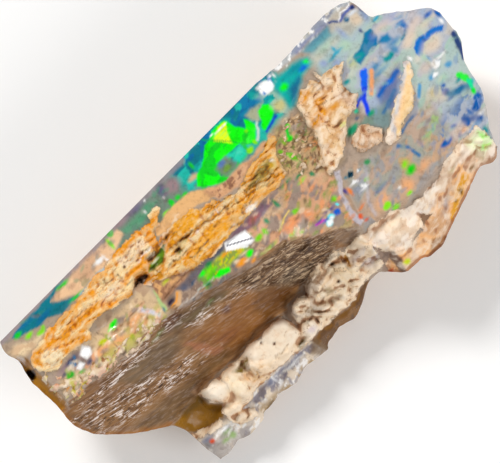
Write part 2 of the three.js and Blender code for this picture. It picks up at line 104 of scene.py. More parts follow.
RIM = [
    (-22.5, -13, 3.2), (-15.4, -12.4, 3.2), (-10, -12.3, 3.3), (-2.2, -12.1, 3.4), (1.4, -11.8, 3.4),
    (4.2, -10.4, 4.6), (5.5, -10.5, 5.6), (7.2, -12, 7.2), (11, -12.5, 7), (13.5, -11.5, 7.4),
    (16, -10.7, 8), (17.5, -10.1, 8.5), (19.4, -10.4, 8.8), (24.7, -14, 8),
]
FACE_HEIGHT = 15
FACE_RISE_WIDTH = 3  # mm behind the ridge in which the face reaches its height

# ------------------------------------------------------------------ matrix that stands proud of the face

LEFT_SEAM = [
    (-21, 5.2), (-20, 5.6), (-17.8, 6), (-14, 6.1), (-12.3, 6.5), (-10.3, 6.5), (-9.5, 6.8), (-8, 6.8),
    (-5.6, 6.6), (-5.5, 7.1), (-4.3, 7.15), (-4, 6.8), (-5.2, 5.8), (-5.9, 5.6), (-6.2, 4.9), (-7, 4.6),
    (-8.2, 4.3), (-8.4, 3.8), (-9.5, 3.7), (-11, 3.15), (-12.8, 3.3), (-13.5, 3.6), (-15.2, 3.6),
    (-15.7, 3.3), (-16, 2.7), (-16.8, 3.1), (-18.5, 3.2), (-20, 2.9), (-21, 3.6), (-21.3, 4.5),
]
MIDDLE_SEAM = [
    (-9, 2.9), (-8.5, 3.3), (-7, 3.2), (-6.2, 3.8), (-5, 4.4), (-5, 4.9), (-4, 5.1), (-2.3, 4.9),
    (-1.8, 4.3), (-0.3, 4.3), (0, 3.7), (1.5, 3.2), (2.2, 3.3), (3, 3.8), (5, 4.2), (6.8, 4.6), (7.4, 4.2),
    (6.3, 3.6), (5.9, 2.3), (5.6, 1.5), (5, 1.1), (2.5, 1.2), (1, 0.95), (-2, 0.9), (-3.8, 0.8), (-6, 1.2),
    (-7.5, 1.9), (-8.5, 2.3),
]
PORE_MASS = [
    (10.3, 5), (11.5, 5.6), (12.5, 5.7), (13, 5.2), (13.3, 6), (13.5, 5.3), (15.5, 4.9), (15.8, 4.7),
    (14.8, 4), (14.2, 3.6), (14.3, 2.5), (15, 2.2), (14, 1.5), (13.2, 1.2), (12.4, 0.9), (11.8, 0.3),
    (11.2, 0.1), (10.8, -0.5), (10, -1), (9, -1.3), (8.2, -1.2), (8.3, -0.2), (9.3, 1), (9.6, 2), (9.8, 3),
    (10, 4),
]
TAN_PATCH = [
    (11.4, -0.7), (12, -0.2), (13, -0.2), (13.8, -0.8), (14.1, -1.7), (13.5, -2.2), (12.5, -2.2),
    (11.4, -1.9),
]
CREAM_VEIN = [
    (13.5, -2.6), (14, -2.2), (15.2, -1.6), (16, -0.8), (17.5, -0.2), (18.8, 0.9), (19.6, 1.4), (19.8, 0.9),
    (19.3, 0.1), (18.6, -0.7), (18, -1.6), (17.3, -2.1), (16, -2.4), (14.5, -3.1), (13.6, -3),
]
CREAM_CORNER = [
    (-21.9, 6.9), (-20.9, 6.95), (-20, 6.4), (-18.6, 6.1), (-18.4, 5.9), (-20.5, 5.6), (-21.7, 5.9),
]
ROUGH_MIDDLE = [
    (5.6, 1.2), (6, 2.4), (6.3, 3.4), (7.2, 4.3), (8.8, 4.9), (9.9, 4.4), (9.7, 2.4), (9.3, 1), (8.4, -0.4),
    (7.2, -0.8), (6.6, 0.4),
]
SEAM_LINK = [
    (-9.8, 4.4), (-8, 4.5), (-6.4, 4.9), (-5, 4.9), (-4.6, 4), (-6, 3.2), (-8.2, 2.6), (-9.4, 2.6),
    (-9.8, 3.2),
]
BROKEN_LEFT = [
    (-21.6, 3.4), (-20.6, 3.2), (-19.9, 1.8), (-18.6, 1.1), (-17.3, 1.3), (-15.3, 1), (-14.6, 0.8),
    (-11.4, 0.7), (-10.6, 0), (-9.8, -0.4), (-12, -0.6), (-15, -0.4), (-18, -0.1), (-21.8, 0),
]

# ------------------------------------------------------------------ zones down the front

FLANK = [(x, y) for x, y, z in RIDGE[:10]] + [
    (5.9, -5.1), (6.8, -6.1), (6.6, -6.8), (4.8, -6.8), (4.2, -6.1), (1.5, -6.4), (-0.2, -6.5), (-2, -6.9),
    (-5, -7.05), (-10.5, -7.05), (-12.9, -6.9), (-15.9, -7.3), (-22.6, -7.4),
]
HACKLE = [
    (-4.6, -2.1), (-1, -2.5), (1.6, -2.7), (3.2, -3.9), (5, -5), (4.3, -5.9), (2, -6.4), (0, -6.4),
    (-1, -5.4), (-3, -4.2),
]
TERRACE_CREAM = [
    (-12.9, -6.95), (-12, -6.85), (-10.9, -7), (-10.6, -7.2), (-9.8, -7.05), (-8, -7.1), (-6.8, -6.85),
    (-5.8, -7.1), (-4.6, -6.95), (-3.2, -7.1), (-3, -8), (-2.85, -8.9), (-2.7, -8.2), (-2.4, -7.4),
    (-1.9, -7.05), (-1, -6.95), (-0.3, -7.2), (0.1, -6.5), (1.2, -6.2), (4, -6.2), (4.6, -6.7), (6.6, -6.7),
    (6.7, -8.6), (6.4, -9.9), (5.6, -10.1), (4, -9.9), (2.4, -10.4), (0.4, -10.4), (-1.6, -10.3),
    (-2.8, -10.35), (-8.6, -10), (-10.4, -10.5), (-12.4, -10.3), (-12.7, -9.6), (-11.8, -9), (-12.6, -8),
]
MASS = [
    (-2.6, -8.4), (-2.2, -7.2), (-0.6, -6.9), (0.2, -6.4), (2, -6.3), (4.4, -6.4), (5, -8), (4.2, -9.8),
    (2, -10.4), (-0.4, -10.4), (-1, -9.4), (-1.2, -8.8),
]
BIG_BLOCK = [(-7.9, -7), (-3.2, -7), (-2.9, -8.6), (-3.4, -9.6), (-7.2, -9.7), (-7.8, -8.4)]
LEDGE = [
    (6.4, -6.7), (9.5, -7), (11, -7.8), (12.5, -8), (15, -7.7), (16, -7.2), (18, -7), (20.1, -7),
    (20.4, -8), (20.2, -9.5), (19, -10.3), (17.5, -9.8), (15.5, -9.3), (14.2, -10), (13.6, -9.2),
    (12.2, -9.8), (11.4, -9.1), (11, -10.1), (9.8, -10), (9, -10.5), (7.6, -10), (6.8, -8.8),
]
SKIRT = [
    (6.4, -9.9), (7.2, -9.6), (9, -10.4), (11, -10), (13.5, -9.1), (15.3, -8.6), (17, -8), (19, -8.2),
    (19.8, -9.4), (18.2, -9.9), (16, -10.6), (13.5, -11.5), (11, -12.6), (7, -12.1), (6, -10.9),
]
RIM_CREAM = [
    (-12.7, -9.6), (-12.6, -10.4), (-12.2, -11.4), (-11.4, -11.7), (-10.3, -11.9), (-10.2, -11),
    (-11, -10.4), (-10.9, -10),
]
CORNER_CREAM = [
    (-15.7, -8.9), (-14.6, -9.4), (-13.2, -9.6), (-13.1, -10.2), (-14.3, -10.3), (-15.2, -9.9),
    (-15.7, -9.6),
]
MATRIX_AREAS = [
    RIM_CREAM, CORNER_CREAM, LEFT_SEAM, MIDDLE_SEAM, SEAM_LINK, PORE_MASS, TAN_PATCH, CREAM_VEIN,
    TERRACE_CREAM, LEDGE, SKIRT,
]
LEFT_BLOCKS = [(-12.9, -6.9), (-8.9, -7), (-8.9, -9.6), (-12.6, -9.4)]
CALM_AREAS = [LEDGE, SKIRT, BIG_BLOCK, LEFT_BLOCKS, CREAM_VEIN]  # smoother than the matrix round them
CRUMB_AREAS = [(ROUGH_MIDDLE, 0.4), (BROKEN_LEFT, 0.06)]  # where matrix lies in crumbs, and how sparsely
HALF_RISE = 0.35  # mm each side of an outline in which the matrix rises
RISES = [  # how far each area of matrix stands proud of the face
    (LEFT_SEAM, 0.45), (MIDDLE_SEAM, 0.4), (PORE_MASS, 0.7), (TAN_PATCH, 0.35), (CREAM_VEIN, 0.45),
    (TERRACE_CREAM, 0.9),
]
RECESS = [
    (-16.3, -7.4), (-15, -7.2), (-12.9, -6.9), (-12.9, -8.2), (-11.9, -9), (-12.7, -9.8), (-14.6, -9.6),
    (-15.8, -8.6),
]
LIP = [
    (-2.6, -10.3), (-1, -10.2), (1.5, -10.5), (2.4, -10.3), (4, -9.9), (4.6, -10.3), (1.4, -12),
    (-2.4, -12.2),
]

# ------------------------------------------------------------------ lumps, hollows and ribs
# Lumps and hollows are (x, y, half x, half y, height, squareness); a squareness of 1 is a dome, 3 a block.

LUMPS = [
    (-11.7, -7.9, 1.5, 1.4, 1, 2), (-9.7, -8.5, 1.3, 1.6, 0.7, 2), (-5.6, -8.4, 3, 1.9, 1.2, 3),
    (-7.9, -9.1, 1.2, 1.2, 0.5, 1), (-12, -10.3, 1.3, 1.3, 0.6, 1), (-1.5, -7.9, 1.5, 1.4, 0.7, 2),
    (-2.1, -9.5, 0.85, 0.75, 0.8, 3), (1.3, -7.9, 1.8, 1.6, 0.7, 1), (3.4, -8.5, 1.6, 1.6, 0.7, 1),
    (5.6, -8, 1.4, 1.6, 0.5, 1), (-14.5, -11.2, 1.3, 1.1, 0.7, 1), (-11, -11.5, 1.5, 1.1, 0.6, 1),
    (-8.6, -11, 1.5, 0.9, 0.6, 1), (-5.2, -11, 1.5, 0.9, 0.6, 1), (8.6, -8.6, 1.8, 1.4, 0.6, 1),
    (13.2, -8.4, 2.2, 1.1, 0.5, 1), (16.8, -7.8, 2, 0.9, 0.5, 1), (19.4, -8.6, 1.1, 1.2, 0.6, 1),
    (10.8, 3.8, 1.4, 1.6, 0.45, 1), (12.9, 2.6, 1.3, 1.5, 0.4, 1), (-19.3, 4.2, 1.5, 1.2, 0.3, 1),
]
HOLLOWS = [
    (-14.2, -8.3, 2.4, 1.9, -1.2, 2), (-8.4, -7.8, 1, 0.5, -0.4, 1), (4.2, -7.3, 0.4, 0.9, -0.2, 1),
    (-3.4, -9.9, 0.8, 0.6, -0.4, 1), (-9.6, 3.5, 1.1, 0.6, -0.8, 1), (-14.2, 2.5, 2.2, 1, -0.5, 1),
    (4, 2.8, 1.8, 0.6, -0.45, 1), (3.2, -1.4, 3.6, 2.2, -0.6, 1), (7.6, 1.6, 2.4, 3.2, -0.5, 1),
    (16.6, 1.6, 3.4, 2.6, -0.25, 1), (18, -4, 4.6, 2.8, -0.7, 1), (11.6, -4.6, 3.6, 2.4, -0.6, 1),
    (17.3, 6.4, 2.6, 1.6, -0.15, 1), (4.6, 6.8, 4.6, 1.6, -0.2, 1),
]
# Pits too small for the solid: (x, y, half x, half y, depth).
PITS = [
    (-21.8, 4.2, 0.3, 0.6, 0.9), (-9.4, 3.5, 0.7, 0.22, 0.4), (-4.2, 3.45, 0.9, 0.14, 0.5),
    (-5.6, 3.2, 0.5, 0.16, 0.35), (2.5, -8.3, 0.25, 0.18, 0.4), (3.2, -6.9, 0.3, 0.15, 0.35),
    (4.15, -7.3, 0.16, 0.6, 0.35), (7.4, -8.3, 0.16, 0.12, 0.2), (-1.5, -8.95, 0.4, 0.12, 0.4),
    (-1.15, -9.4, 0.14, 0.5, 0.4), (-3.4, -9.9, 0.5, 0.2, 0.3), (-6, -7.5, 0.15, 0.2, 0.3),
    (-5.2, -8.3, 0.12, 0.12, 0.3), (-7.9, 5.1, 0.15, 0.1, 0.3), (-9.8, 5.25, 0.2, 0.1, 0.3),
    (5.7, 3.9, 0.1, 0.1, 0.3), (6, 4.35, 0.35, 0.06, 0.3), (-0.9, 3.95, 0.3, 0.06, 0.3),
    (-1.9, 2.3, 0.25, 0.08, 0.3), (-8.4, -7.65, 0.8, 0.2, 0.25), (9.5, -2.4, 0.3, 0.3, 0.4),
]
# Ribs are (start, end, half width, height).
RIBS = [
    ((9, -1.4), (7.5, -6), 0.7, 0.6), ((14.5, -10), (18, -7.9), 0.8, 0.8),
    ((-20.8, -2.2), (-11, -4.1), 0.8, 0.3), ((-18.5, -4.6), (-4, -5.6), 0.8, 0.25),
    ((-3, -2.9), (3.5, -5.2), 0.7, 0.4),
]
END_RIM = {"inside_x": -21.2, "outside_x": -21.8, "low_y": -0.4, "high_y": 6.3, "fade": 0.8, "drop": 2.6}
EDGE_DROP, EDGE_WIDTH = 0.4, 0.8  # the rounding of the stone's edge
SHARP_EDGE_DROP, SHARP_EDGE_WIDTH = 0.03, 0.3  # along the straight edge
STRAIGHT_FROM_Y, STRAIGHT_TO_X = (5, 7), (9, 10)  # the straight edge fades in and out between these
TOP_LIMIT, TOP_EASE = 16.05, 0.4  # no point lies above the limit; heights ease off below it

# ------------------------------------------------------------------ fine relief
# Waves are (height, length, width, seed), and folds are (height, turn in degrees, length, width, seed).

GRAIN_SLOPE = -0.19  # the wood grain falls towards -Y along the stone
GRAIN_WANDER = 0.15
WOOD_WAVES = [(0.15, 6, 0.9, 41), (0.07, 1.8, 0.4, 42), (0.045, 0.8, 0.25, 43)]
HACKLE_WAVES = [(0.22, 0.8, 0.28, 44), (0.2, 1.6, 0.6, 45)]
GLASS_WAVES = [(0.06, 2.6, 2.1, 51), (0.02, 0.9, 0.8, 52)]
LUMP_WAVES = [(0.2, 1.5, 1.5, 31)]
LUMP_FOLDS = [(0.32, -15, 1.2, 0.8, 32), (0.16, 10, 0.65, 0.45, 33)]
MASS_FOLDS = [(0.5, -38, 1.8, 0.7, 46)]
FIBRE_WAVES = [(0.16, 1.8, 0.8, 34)]
FIBRE_FOLDS = [(0.2, -7, 1, 0.42, 38), (0.14, 0, 0.55, 0.3, 35)]
LUMP_MEAN, MASS_MEAN, FIBRE_MEAN = 0.22, 0.2, 0.14  # taken off, so that the relief lies about the surface
CALM_DAMPING, HACKLE_DAMPING = 0.6, 0.6  # shares of relief that calm areas and the hackle zone take away

# The depths in mm inside an outline at which each kind of relief begins and is whole.
MATRIX_BEGINS, FLANK_BEGINS, HACKLE_BEGINS = (-0.1, 0.15), (-0.3, 0.4), (-0.2, 0.5)
FIBRES_BEGIN, CALM_BEGINS, MASS_BEGINS = (-0.2, 0.2), (-0.3, 0.5), (-0.3, 0.3)
# How far borders wander, and over how long a wave, in mm: those of the zones, and those of the large forms.
ZONE_WANDER, ZONE_WAVE = 0.15, 0.7
FORM_WANDER, FORM_WAVE = 0.12, 0.8
CRUMB_HEIGHT, CRUMB_LENGTH, CRUMB_WIDTH = 0.8, 0.55, 0.35

# ------------------------------------------------------------------ walls and base

UNDERCUT = {"back": 1.3, "right": 3.4, "front": 1.3, "left": 2.8}  # mm that the base is drawn in
UNDERCUT_CURVE = 1.4
SMOOTHING = 4.2  # mm each way along the outline that even out the base
SPINE = {"from_x": -12, "to_x": 14, "y": -1.5}  # the middle line that the walls are cut back towards
WALL_FADE = 0.3  # the share of the wall's height in which its relief sets in
WALL_HOLLOWS = {"depth": 1.3, "wave": 5}
WALL_STEPS = {"depth": 0.45, "wave": 2.2, "flatness": 2.5}
WALL_ROUGHNESS = [(0.12, 1.1, 0.5, 73), (0.07, 0.5, 0.25, 74)]  # (depth, length, height, seed)
WALL_BEDS = {"depth": 0.3, "wave": 3.5, "height": 1.1}
# Broad fracture faces: a point on each and its outward direction.
FRACTURES = [
    ((-8, 8.1, 9), (-0.1, 1, -0.1)), ((-15, 6.9, 4.5), (-0.3, 1, -0.5)), ((13, 8, 10), (0.16, 1, -0.25)),
    ((3, 6.2, 1), (0.06, 1, -1.1)), ((-21.3, 6.6, 9), (-1, 0.8, -0.15)), ((18.6, 6.9, 8), (0.7, 1, -0.3)),
    ((22.2, 3.2, 7), (1, 0.75, -0.35)), ((23.4, 0, 11), (1, 0.1, -0.2)), ((21.6, -5, 7), (1, -0.35, -0.45)),
    ((18.6, -8, 4), (0.7, -1, -0.5)), ((-20.6, 2, 5), (-1, 0.1, -0.45)),
    ((-18.9, -6, 3.4), (-1, -1.05, -0.6)), ((12, -9.8, 4), (0.2, -1, -0.55)),
    ((-7, -10.9, 1.2), (-0.1, -1, -0.8)),
]


# ------------------------------------------------------------------ helpers on arrays


def smoothstep(low, high, value):
    t = np.clip((value - low) / (high - low), 0, 1)
    return t * t * (3 - 2 * t)


def lattice(ix, iy, iz, seed):
    """A repeatable number from -1 to 1 for each whole-number place."""
    h = (ix * 374761393 + iy * 668265263 + iz * 1103515245 + seed * 974634777) & 0xFFFFFFFF
    h = ((h ^ (h >> 13)) * 1274126177) & 0xFFFFFFFF
    return ((h ^ (h >> 16)) & 0xFFFF) / 32767.5 - 1


def noise(x, y, z=0.0, seed=0):
    """Smooth noise from -1 to 1: the numbers at the corners of each point's cell, faded into each other."""
    x, y, z = np.broadcast_arrays(x, y, z)
    cell = [np.floor(v).astype(np.int64) for v in (x, y, z)]
    fade = []
    for v, whole in zip((x, y, z), cell):
        f = v - whole
        fade.append(f * f * f * (f * (f * 6 - 15) + 10))
    total = 0
    for dx in (0, 1):
        for dy in (0, 1):
            for dz in (0, 1):
                weight = 1
                for step, f in zip((dx, dy, dz), fade):
                    weight = weight * (f if step else 1 - f)
                total = total + weight * lattice(cell[0] + dx, cell[1] + dy, cell[2] + dz, seed)
    return total


def fractal(x, y, z=0.0, octaves=3, seed=0):
    """Noise with finer and weaker noise added, each half the size of the last."""
    total, size = 0, 1.0
    for octave in range(octaves):
        total = total + noise(x / size, y / size, z / size, seed + octave) * size
        size /= 2
    return total


def turned(x, y, turn):
    """A place's distances along and across a direction, that many degrees from the stone's length."""
    c, s = math.cos(math.radians(turn)), math.sin(math.radians(turn))
    return x * c + y * s, y * c - x * s


def waves(x, y, table):
    """The sum of a table's waves."""
    return sum(height * noise(x / length, y / width, seed=seed) for height, length, width, seed in table)


def line_at(line, x):
    """The y and z of a line along the stone at each x."""
    xs, ys, zs = (np.array(v, float) for v in zip(*line))
    return np.interp(x, xs, ys), np.interp(x, xs, zs)


def distance_to_segment(x, y, a, b):
    (ax, ay), (bx, by) = a, b
    dx, dy = bx - ax, by - ay
    t = np.clip(((x - ax) * dx + (y - ay) * dy) / max(dx * dx + dy * dy, 1e-9), 0, 1)
    return np.hypot(x - ax - t * dx, y - ay - t * dy)


def depth_inside(outline, x, y, reach=2.0):
    """Distance to an outline's border, positive inside; no further off than reach."""
    xs, ys = zip(*outline)
    depth = np.full(np.shape(x), -reach, float)
    near = (x > min(xs) - reach) & (x < max(xs) + reach) & (y > min(ys) - reach) & (y < max(ys) + reach)
    px, py = x[near], y[near]
    away = np.full(px.shape, np.inf)
    inside = np.zeros(px.shape, bool)
    for a, b in zip(outline, outline[1:] + outline[:1]):
        away = np.minimum(away, distance_to_segment(px, py, a, b))
        if a[1] != b[1]:
            crossing = a[0] + (b[0] - a[0]) * (py - a[1]) / (b[1] - a[1])
            inside ^= ((a[1] > py) != (b[1] > py)) & (px < crossing)
    depth[near] = np.clip(np.where(inside, away, -away), -reach, reach)
    return depth


def depth_in_stroke(points, half_width, x, y):
    """Signed depth inside a line drawn with that half width."""
    away = np.full(np.shape(x), np.inf)
    for a, b in zip(points, points[1:]):
        away = np.minimum(away, distance_to_segment(x, y, a, b))
    return half_width - away


def bump(x, y, cx, cy, half_x, half_y, height, square):
    """A dome, which turns into a flat-topped block as its squareness grows."""
    r = np.hypot((x - cx) / half_x, (y - cy) / half_y)
    return height * np.clip(1 - np.minimum(r, 1) ** (2 * square), 0, 1) ** 1.5


# ------------------------------------------------------------------ the top surface


def ground_height(x, y):
    """The large form: the level face behind the ridge, and straight slopes between the lines before it."""
    stops = [line_at(line, x) for line in (RIDGE, MID_FLANK, FOOT, TERRACE, RIM)]
    z = stops[-1][1].copy()
    for (y0, z0), (y1, z1) in zip(stops, stops[1:]):
        between = (y < y0) & (y >= y1)
        t = (y0 - y) / (y0 - y1)
        z = np.where(between, z0 + (z1 - z0) * t, z)
    behind = smoothstep(0, FACE_RISE_WIDTH, y - stops[0][0])
    face = stops[0][1] + (FACE_HEIGHT - stops[0][1]) * behind
    return np.where(y >= stops[0][0], face, z)


def zone_depths(x, y):
    """Signed depths in mm inside the matrix, the woody flank and the hackle zone, with wandering borders."""
    wx = x + ZONE_WANDER * fractal(x / ZONE_WAVE, y / ZONE_WAVE, octaves=4, seed=11)
    wy = y + ZONE_WANDER * fractal(x / ZONE_WAVE, y / ZONE_WAVE, octaves=4, seed=21)
    crumbs = CRUMB_HEIGHT * fractal(x / CRUMB_LENGTH, y / CRUMB_WIDTH, octaves=3, seed=25)
    matrix = deepest(MATRIX_AREAS, wx, wy)
    for outline, sparseness in CRUMB_AREAS:
        matrix = np.maximum(matrix, np.minimum(depth_inside(outline, wx, wy), crumbs - sparseness))
    flank = depth_inside(FLANK, wx, wy)
    hackle = depth_inside(HACKLE, wx, wy)
    return matrix, flank, hackle


def deepest(outlines, x, y):
    """Signed depth inside whichever outline holds a point best."""
    depth = np.full(np.shape(x), -2.0)
    for outline in outlines:
        depth = np.maximum(depth, depth_inside(outline, x, y))
    return depth


def fibrous_share(x, y):
    return smoothstep(*FIBRES_BEGIN, deepest([LEFT_SEAM, MIDDLE_SEAM], x, y))


def calm_share(x, y):
    return smoothstep(*CALM_BEGINS, deepest(CALM_AREAS, x, y))


def folds(x, y, turn, along, across, seed):
    """Rounded folds between sharp creases, drawn out along a direction; 0 in a crease, 0.4 on average."""
    u, v = turned(x, y, turn)
    u, v = u / along, v / across
    bent = v + 0.6 * noise(u, v / 2, seed=seed + 1)
    return np.abs(noise(u, bent, seed=seed)) * 1.6


def sum_of_folds(x, y, table):
    return sum(height * folds(x, y, *shape) for height, *shape in table)


def relief(x, y, matrix, flank, hackle):
    """Fine uneven relief, in mm, of its own kind in each zone."""
    on_matrix = smoothstep(*MATRIX_BEGINS, matrix)
    on_flank = smoothstep(*FLANK_BEGINS, flank) * (1 - on_matrix)
    on_hackle = smoothstep(*HACKLE_BEGINS, hackle)
    fibrous = fibrous_share(x, y)
    calm = 1 - CALM_DAMPING * calm_share(x, y)
    in_mass = smoothstep(*MASS_BEGINS, depth_inside(MASS, x, y))
    lumpy = waves(x, y, LUMP_WAVES) + sum_of_folds(x, y, LUMP_FOLDS) - LUMP_MEAN
    lumpy = lumpy + in_mass * (sum_of_folds(x, y, MASS_FOLDS) - MASS_MEAN)
    fibres = waves(x, y, FIBRE_WAVES) + sum_of_folds(x, y, FIBRE_FOLDS) - FIBRE_MEAN
    across = y - GRAIN_SLOPE * x + GRAIN_WANDER * noise(x / 3, y / 1.5, seed=40)
    woody, hackly = waves(x, across, WOOD_WAVES), waves(x, across, HACKLE_WAVES)
    rough = on_matrix * (calm * lumpy * (1 - fibrous) + fibres * fibrous)
    rough = rough + on_flank * woody * (1 - HACKLE_DAMPING * on_hackle)
    rough = rough + on_hackle * (1 - on_matrix) * hackly
    return rough + waves(x, y, GLASS_WAVES) * (1 - on_matrix) * (1 - on_flank)


def end_rim_drop(x, y):
    """How far the rim of the left end drops."""
    r = END_RIM
    beyond = smoothstep(-r["inside_x"], -r["outside_x"], -x)
    above_low = smoothstep(r["low_y"], r["low_y"] + r["fade"], y)
    below_high = 1 - smoothstep(r["high_y"] - r["fade"], r["high_y"], y)
    return r["drop"] * beyond * above_low * below_high


def top_height(x, y):
    """The height of the top surface, in mm."""
    wx = x + FORM_WANDER * noise(x / FORM_WAVE, y / FORM_WAVE, seed=61)
    wy = y + FORM_WANDER * noise(x / FORM_WAVE, y / FORM_WAVE, seed=62)
    rise = np.zeros(np.shape(x))
    for outline, height in RISES:
        rise = np.maximum(rise, height * smoothstep(-HALF_RISE, HALF_RISE, depth_inside(outline, wx, wy)))
    z = ground_height(wx, wy) + rise - end_rim_drop(x, y)
    for row in LUMPS + HOLLOWS:
        z = z + bump(wx, wy, *row)
    for cx, cy, half_x, half_y, depth in PITS:
        z = z - bump(wx, wy, cx, cy, half_x, half_y, depth, 1)
    for start, end, half_width, height in RIBS:
        z = z + height * np.clip(1 - distance_to_segment(x, y, start, end) / half_width, 0, 1)
    z = z + relief(x, y, *zone_depths(x, y))
    from_outline = np.abs(depth_inside(OUTLINE, x, y))
    sharp = smoothstep(*STRAIGHT_FROM_Y, y)
    width = EDGE_WIDTH + (SHARP_EDGE_WIDTH - EDGE_WIDTH) * sharp
    drop = EDGE_DROP + (SHARP_EDGE_DROP - EDGE_DROP) * sharp
    z = z - drop * (1 - smoothstep(0, 1, from_outline / width))
    spare = TOP_LIMIT - TOP_EASE
    return np.where(z > spare, spare + TOP_EASE * np.tanh((z - spare) / TOP_EASE), z)


OUTLINE = BACK_EDGE + RIGHT_END[1:] + FRONT_EDGE[-2:0:-1] + LEFT_END[:0:-1]


def sample_side(corners, cells, seed):
    """Points spaced evenly along a side, which is rounded at its corners and wanders a little inwards."""
    corners = np.array(corners, float)
    run = np.concatenate([[0], np.cumsum(np.hypot(*np.diff(corners, axis=0).T))])
    places = np.linspace(0, run[-1], cells + 1)
    ease = np.clip(np.minimum(places, run[-1] - places) / SIDE_ROUNDING, 0, 1)
    points = np.zeros((len(places), 2))
    for share in ROUNDING_SHARES:
        near = places + share * SIDE_ROUNDING * ease
        sampled = np.stack([np.interp(near, run, corners[:, axis]) for axis in (0, 1)], axis=1)
        points += sampled / len(ROUNDING_SHARES)
    x, y = points.T
    inwards = np.stack([np.clip(x, SPINE["from_x"], SPINE["to_x"]) - x, SPINE["y"] - y], axis=1)
    inwards /= np.hypot(*inwards.T)[:, None]
    straight = smoothstep(*STRAIGHT_FROM_Y, y) * (1 - smoothstep(*STRAIGHT_TO_X, x))
    (broad, broad_wave), (fine, fine_wave) = SIDE_WAVES
    wave = 0.5 + broad * noise(places / broad_wave, 0.0, seed=seed)
    wave = wave + fine * noise(places / fine_wave, 0.0, seed=seed + 1)
    return points + inwards * (SIDE_WANDER * ease * (1 - straight) * wave)[:, None]


def plan_grid():
    """Every grid point's place in plan, blended from the four sides; rows run from the back to the front."""
    back, front = sample_side(BACK_EDGE, CELLS_LONG, 141), sample_side(FRONT_EDGE, CELLS_LONG, 143)
    left, right = sample_side(LEFT_END, CELLS_WIDE, 145), sample_side(RIGHT_END, CELLS_WIDE, 147)
    u = np.linspace(0, 1, CELLS_LONG + 1)[None, :, None]
    v = np.linspace(0, 1, CELLS_WIDE + 1)[:, None, None]
    sides = (1 - v) * back[None] + v * front[None] + (1 - u) * left[:, None] + u * right[:, None]
    back_corners = (1 - u) * (1 - v) * back[0] + u * (1 - v) * back[-1]
    front_corners = (1 - u) * v * front[0] + u * v * front[-1]
    return sides - (back_corners + front_corners)


# ------------------------------------------------------------------ the walls


def base_ring(ring):
    """The base's outline: the ring evened out and drawn in on each side."""
    reach = round(SMOOTHING / (np.hypot(*np.diff(ring, axis=0).T).mean()))
    rolled = [np.roll(ring, -n, axis=0) for n in range(-reach, reach + 1)]
    mean = np.mean(rolled, axis=0)
    along = rolled[-1] - rolled[0]
    along /= np.hypot(*along.T)[:, None]
    out_x, out_y = -along[:, 1], along[:, 0]
    ways = [("back", out_y), ("front", -out_y), ("right", out_x), ("left", -out_x)]
    inset = sum(UNDERCUT[side] * np.maximum(0, facing) ** 2 for side, facing in ways)
    return mean - np.stack([out_x, out_y], axis=1) * inset[:, None]


def wall_relief(x, y, z):
    """How deep the shell-like hollows, the steps, the roughness and the beds cut into a wall, in mm."""
    wave = WALL_HOLLOWS["wave"]
    hollow = WALL_HOLLOWS["depth"] * np.abs(noise(x / wave, y / wave, z / wave, seed=71))
    wave, along = WALL_STEPS["wave"], WALL_STEPS["wave"] * WALL_STEPS["flatness"]
    step = WALL_STEPS["depth"] * np.maximum(0, 0.5 + noise(x / along, y / along, z / wave, seed=72))
    fine = sum(
        depth * (1 + noise(x / length, y / length, z / height, seed=seed))
        for depth, length, height, seed in WALL_ROUGHNESS
    )
    wave, height = WALL_BEDS["wave"], WALL_BEDS["height"]
    beds = WALL_BEDS["depth"] * np.abs(noise(x / wave, y / wave, z / height, seed=75))
    return hollow + step + fine + beds


def share_inside(sx, sy, z, rx, ry):
    """The share of the way out from the spine that lies inside every fracture face."""
    keep = np.ones(np.shape(z))
    for (px, py, pz), (nx, ny, nz) in FRACTURES:
        room = (px - sx) * nx + (py - sy) * ny + (pz - z) * nz
        needed = rx * nx + ry * ny
        keep = np.where(needed > room, np.minimum(keep, room / np.where(needed > 0, needed, 1)), keep)
    return keep


def wall_row(ring, top_z, base, v):
    """One level of wall points: worn in and cut back straight towards the spine."""
    plan = ring + (base - ring) * v ** UNDERCUT_CURVE
    x, y, z = plan[:, 0], plan[:, 1], top_z * (1 - v)
    sx, sy = np.clip(x, SPINE["from_x"], SPINE["to_x"]), np.full(x.shape, float(SPINE["y"]))
    rx, ry = x - sx, y - sy
    fade = smoothstep(0, WALL_FADE, v)
    worn = 1 - fade * wall_relief(x, y, z) / np.hypot(rx, ry)
    rx, ry = rx * worn, ry * worn
    kept = 1 - fade * (1 - share_inside(sx, sy, z, rx, ry))
    return np.stack([sx + rx * kept, sy + ry * kept, z], axis=1)


# ------------------------------------------------------------------ paint
# Colours are 0-255 sRGB, and later patches lie on top. A patch's depth function gives the mm inside its
# border, which is that soft each way. A patch with a wave shows only in brush-like flecks of about that many
# mm, and the bias says how sparse they are.

Patch = namedtuple("Patch", "colour depth soft strength wave bias", defaults=(0, 0))
PAINT_REACH = 3.0  # mm from an outline beyond which its depth no longer changes
SPECK_INSET, SPECK_SOFTNESS = 0.1, 0.07
SPECK_SIZES, SPECK_FLATNESS, SPECK_TURNS = (0.4, 1), (0.25, 0.6), (-35, 60)


def area(colour, points, soft=0.15, strength=1.0):
    """A patch inside an outline."""
    return Patch(colour, lambda x, y: depth_inside(points, x, y, PAINT_REACH), soft, strength)


def mottle(colour, points, wave, share=0.5, soft=0.5, strength=0.85):
    """Flecks that cover about that share of an area."""
    return area(colour, points, soft, strength)._replace(wave=wave, bias=0.5 - share)


def mottles(points, *kinds, soft=0.5, strength=0.85):
    """Flecks of several kinds in one area; each kind is (colour, wave, share)."""
    return [mottle(colour, points, wave, share, soft, strength) for colour, wave, share in kinds]


def stroke(colour, points, half_width, soft=0.1, strength=1.0):
    """A patch along a line."""
    return Patch(colour, lambda x, y: depth_in_stroke(points, half_width, x, y), soft, strength)


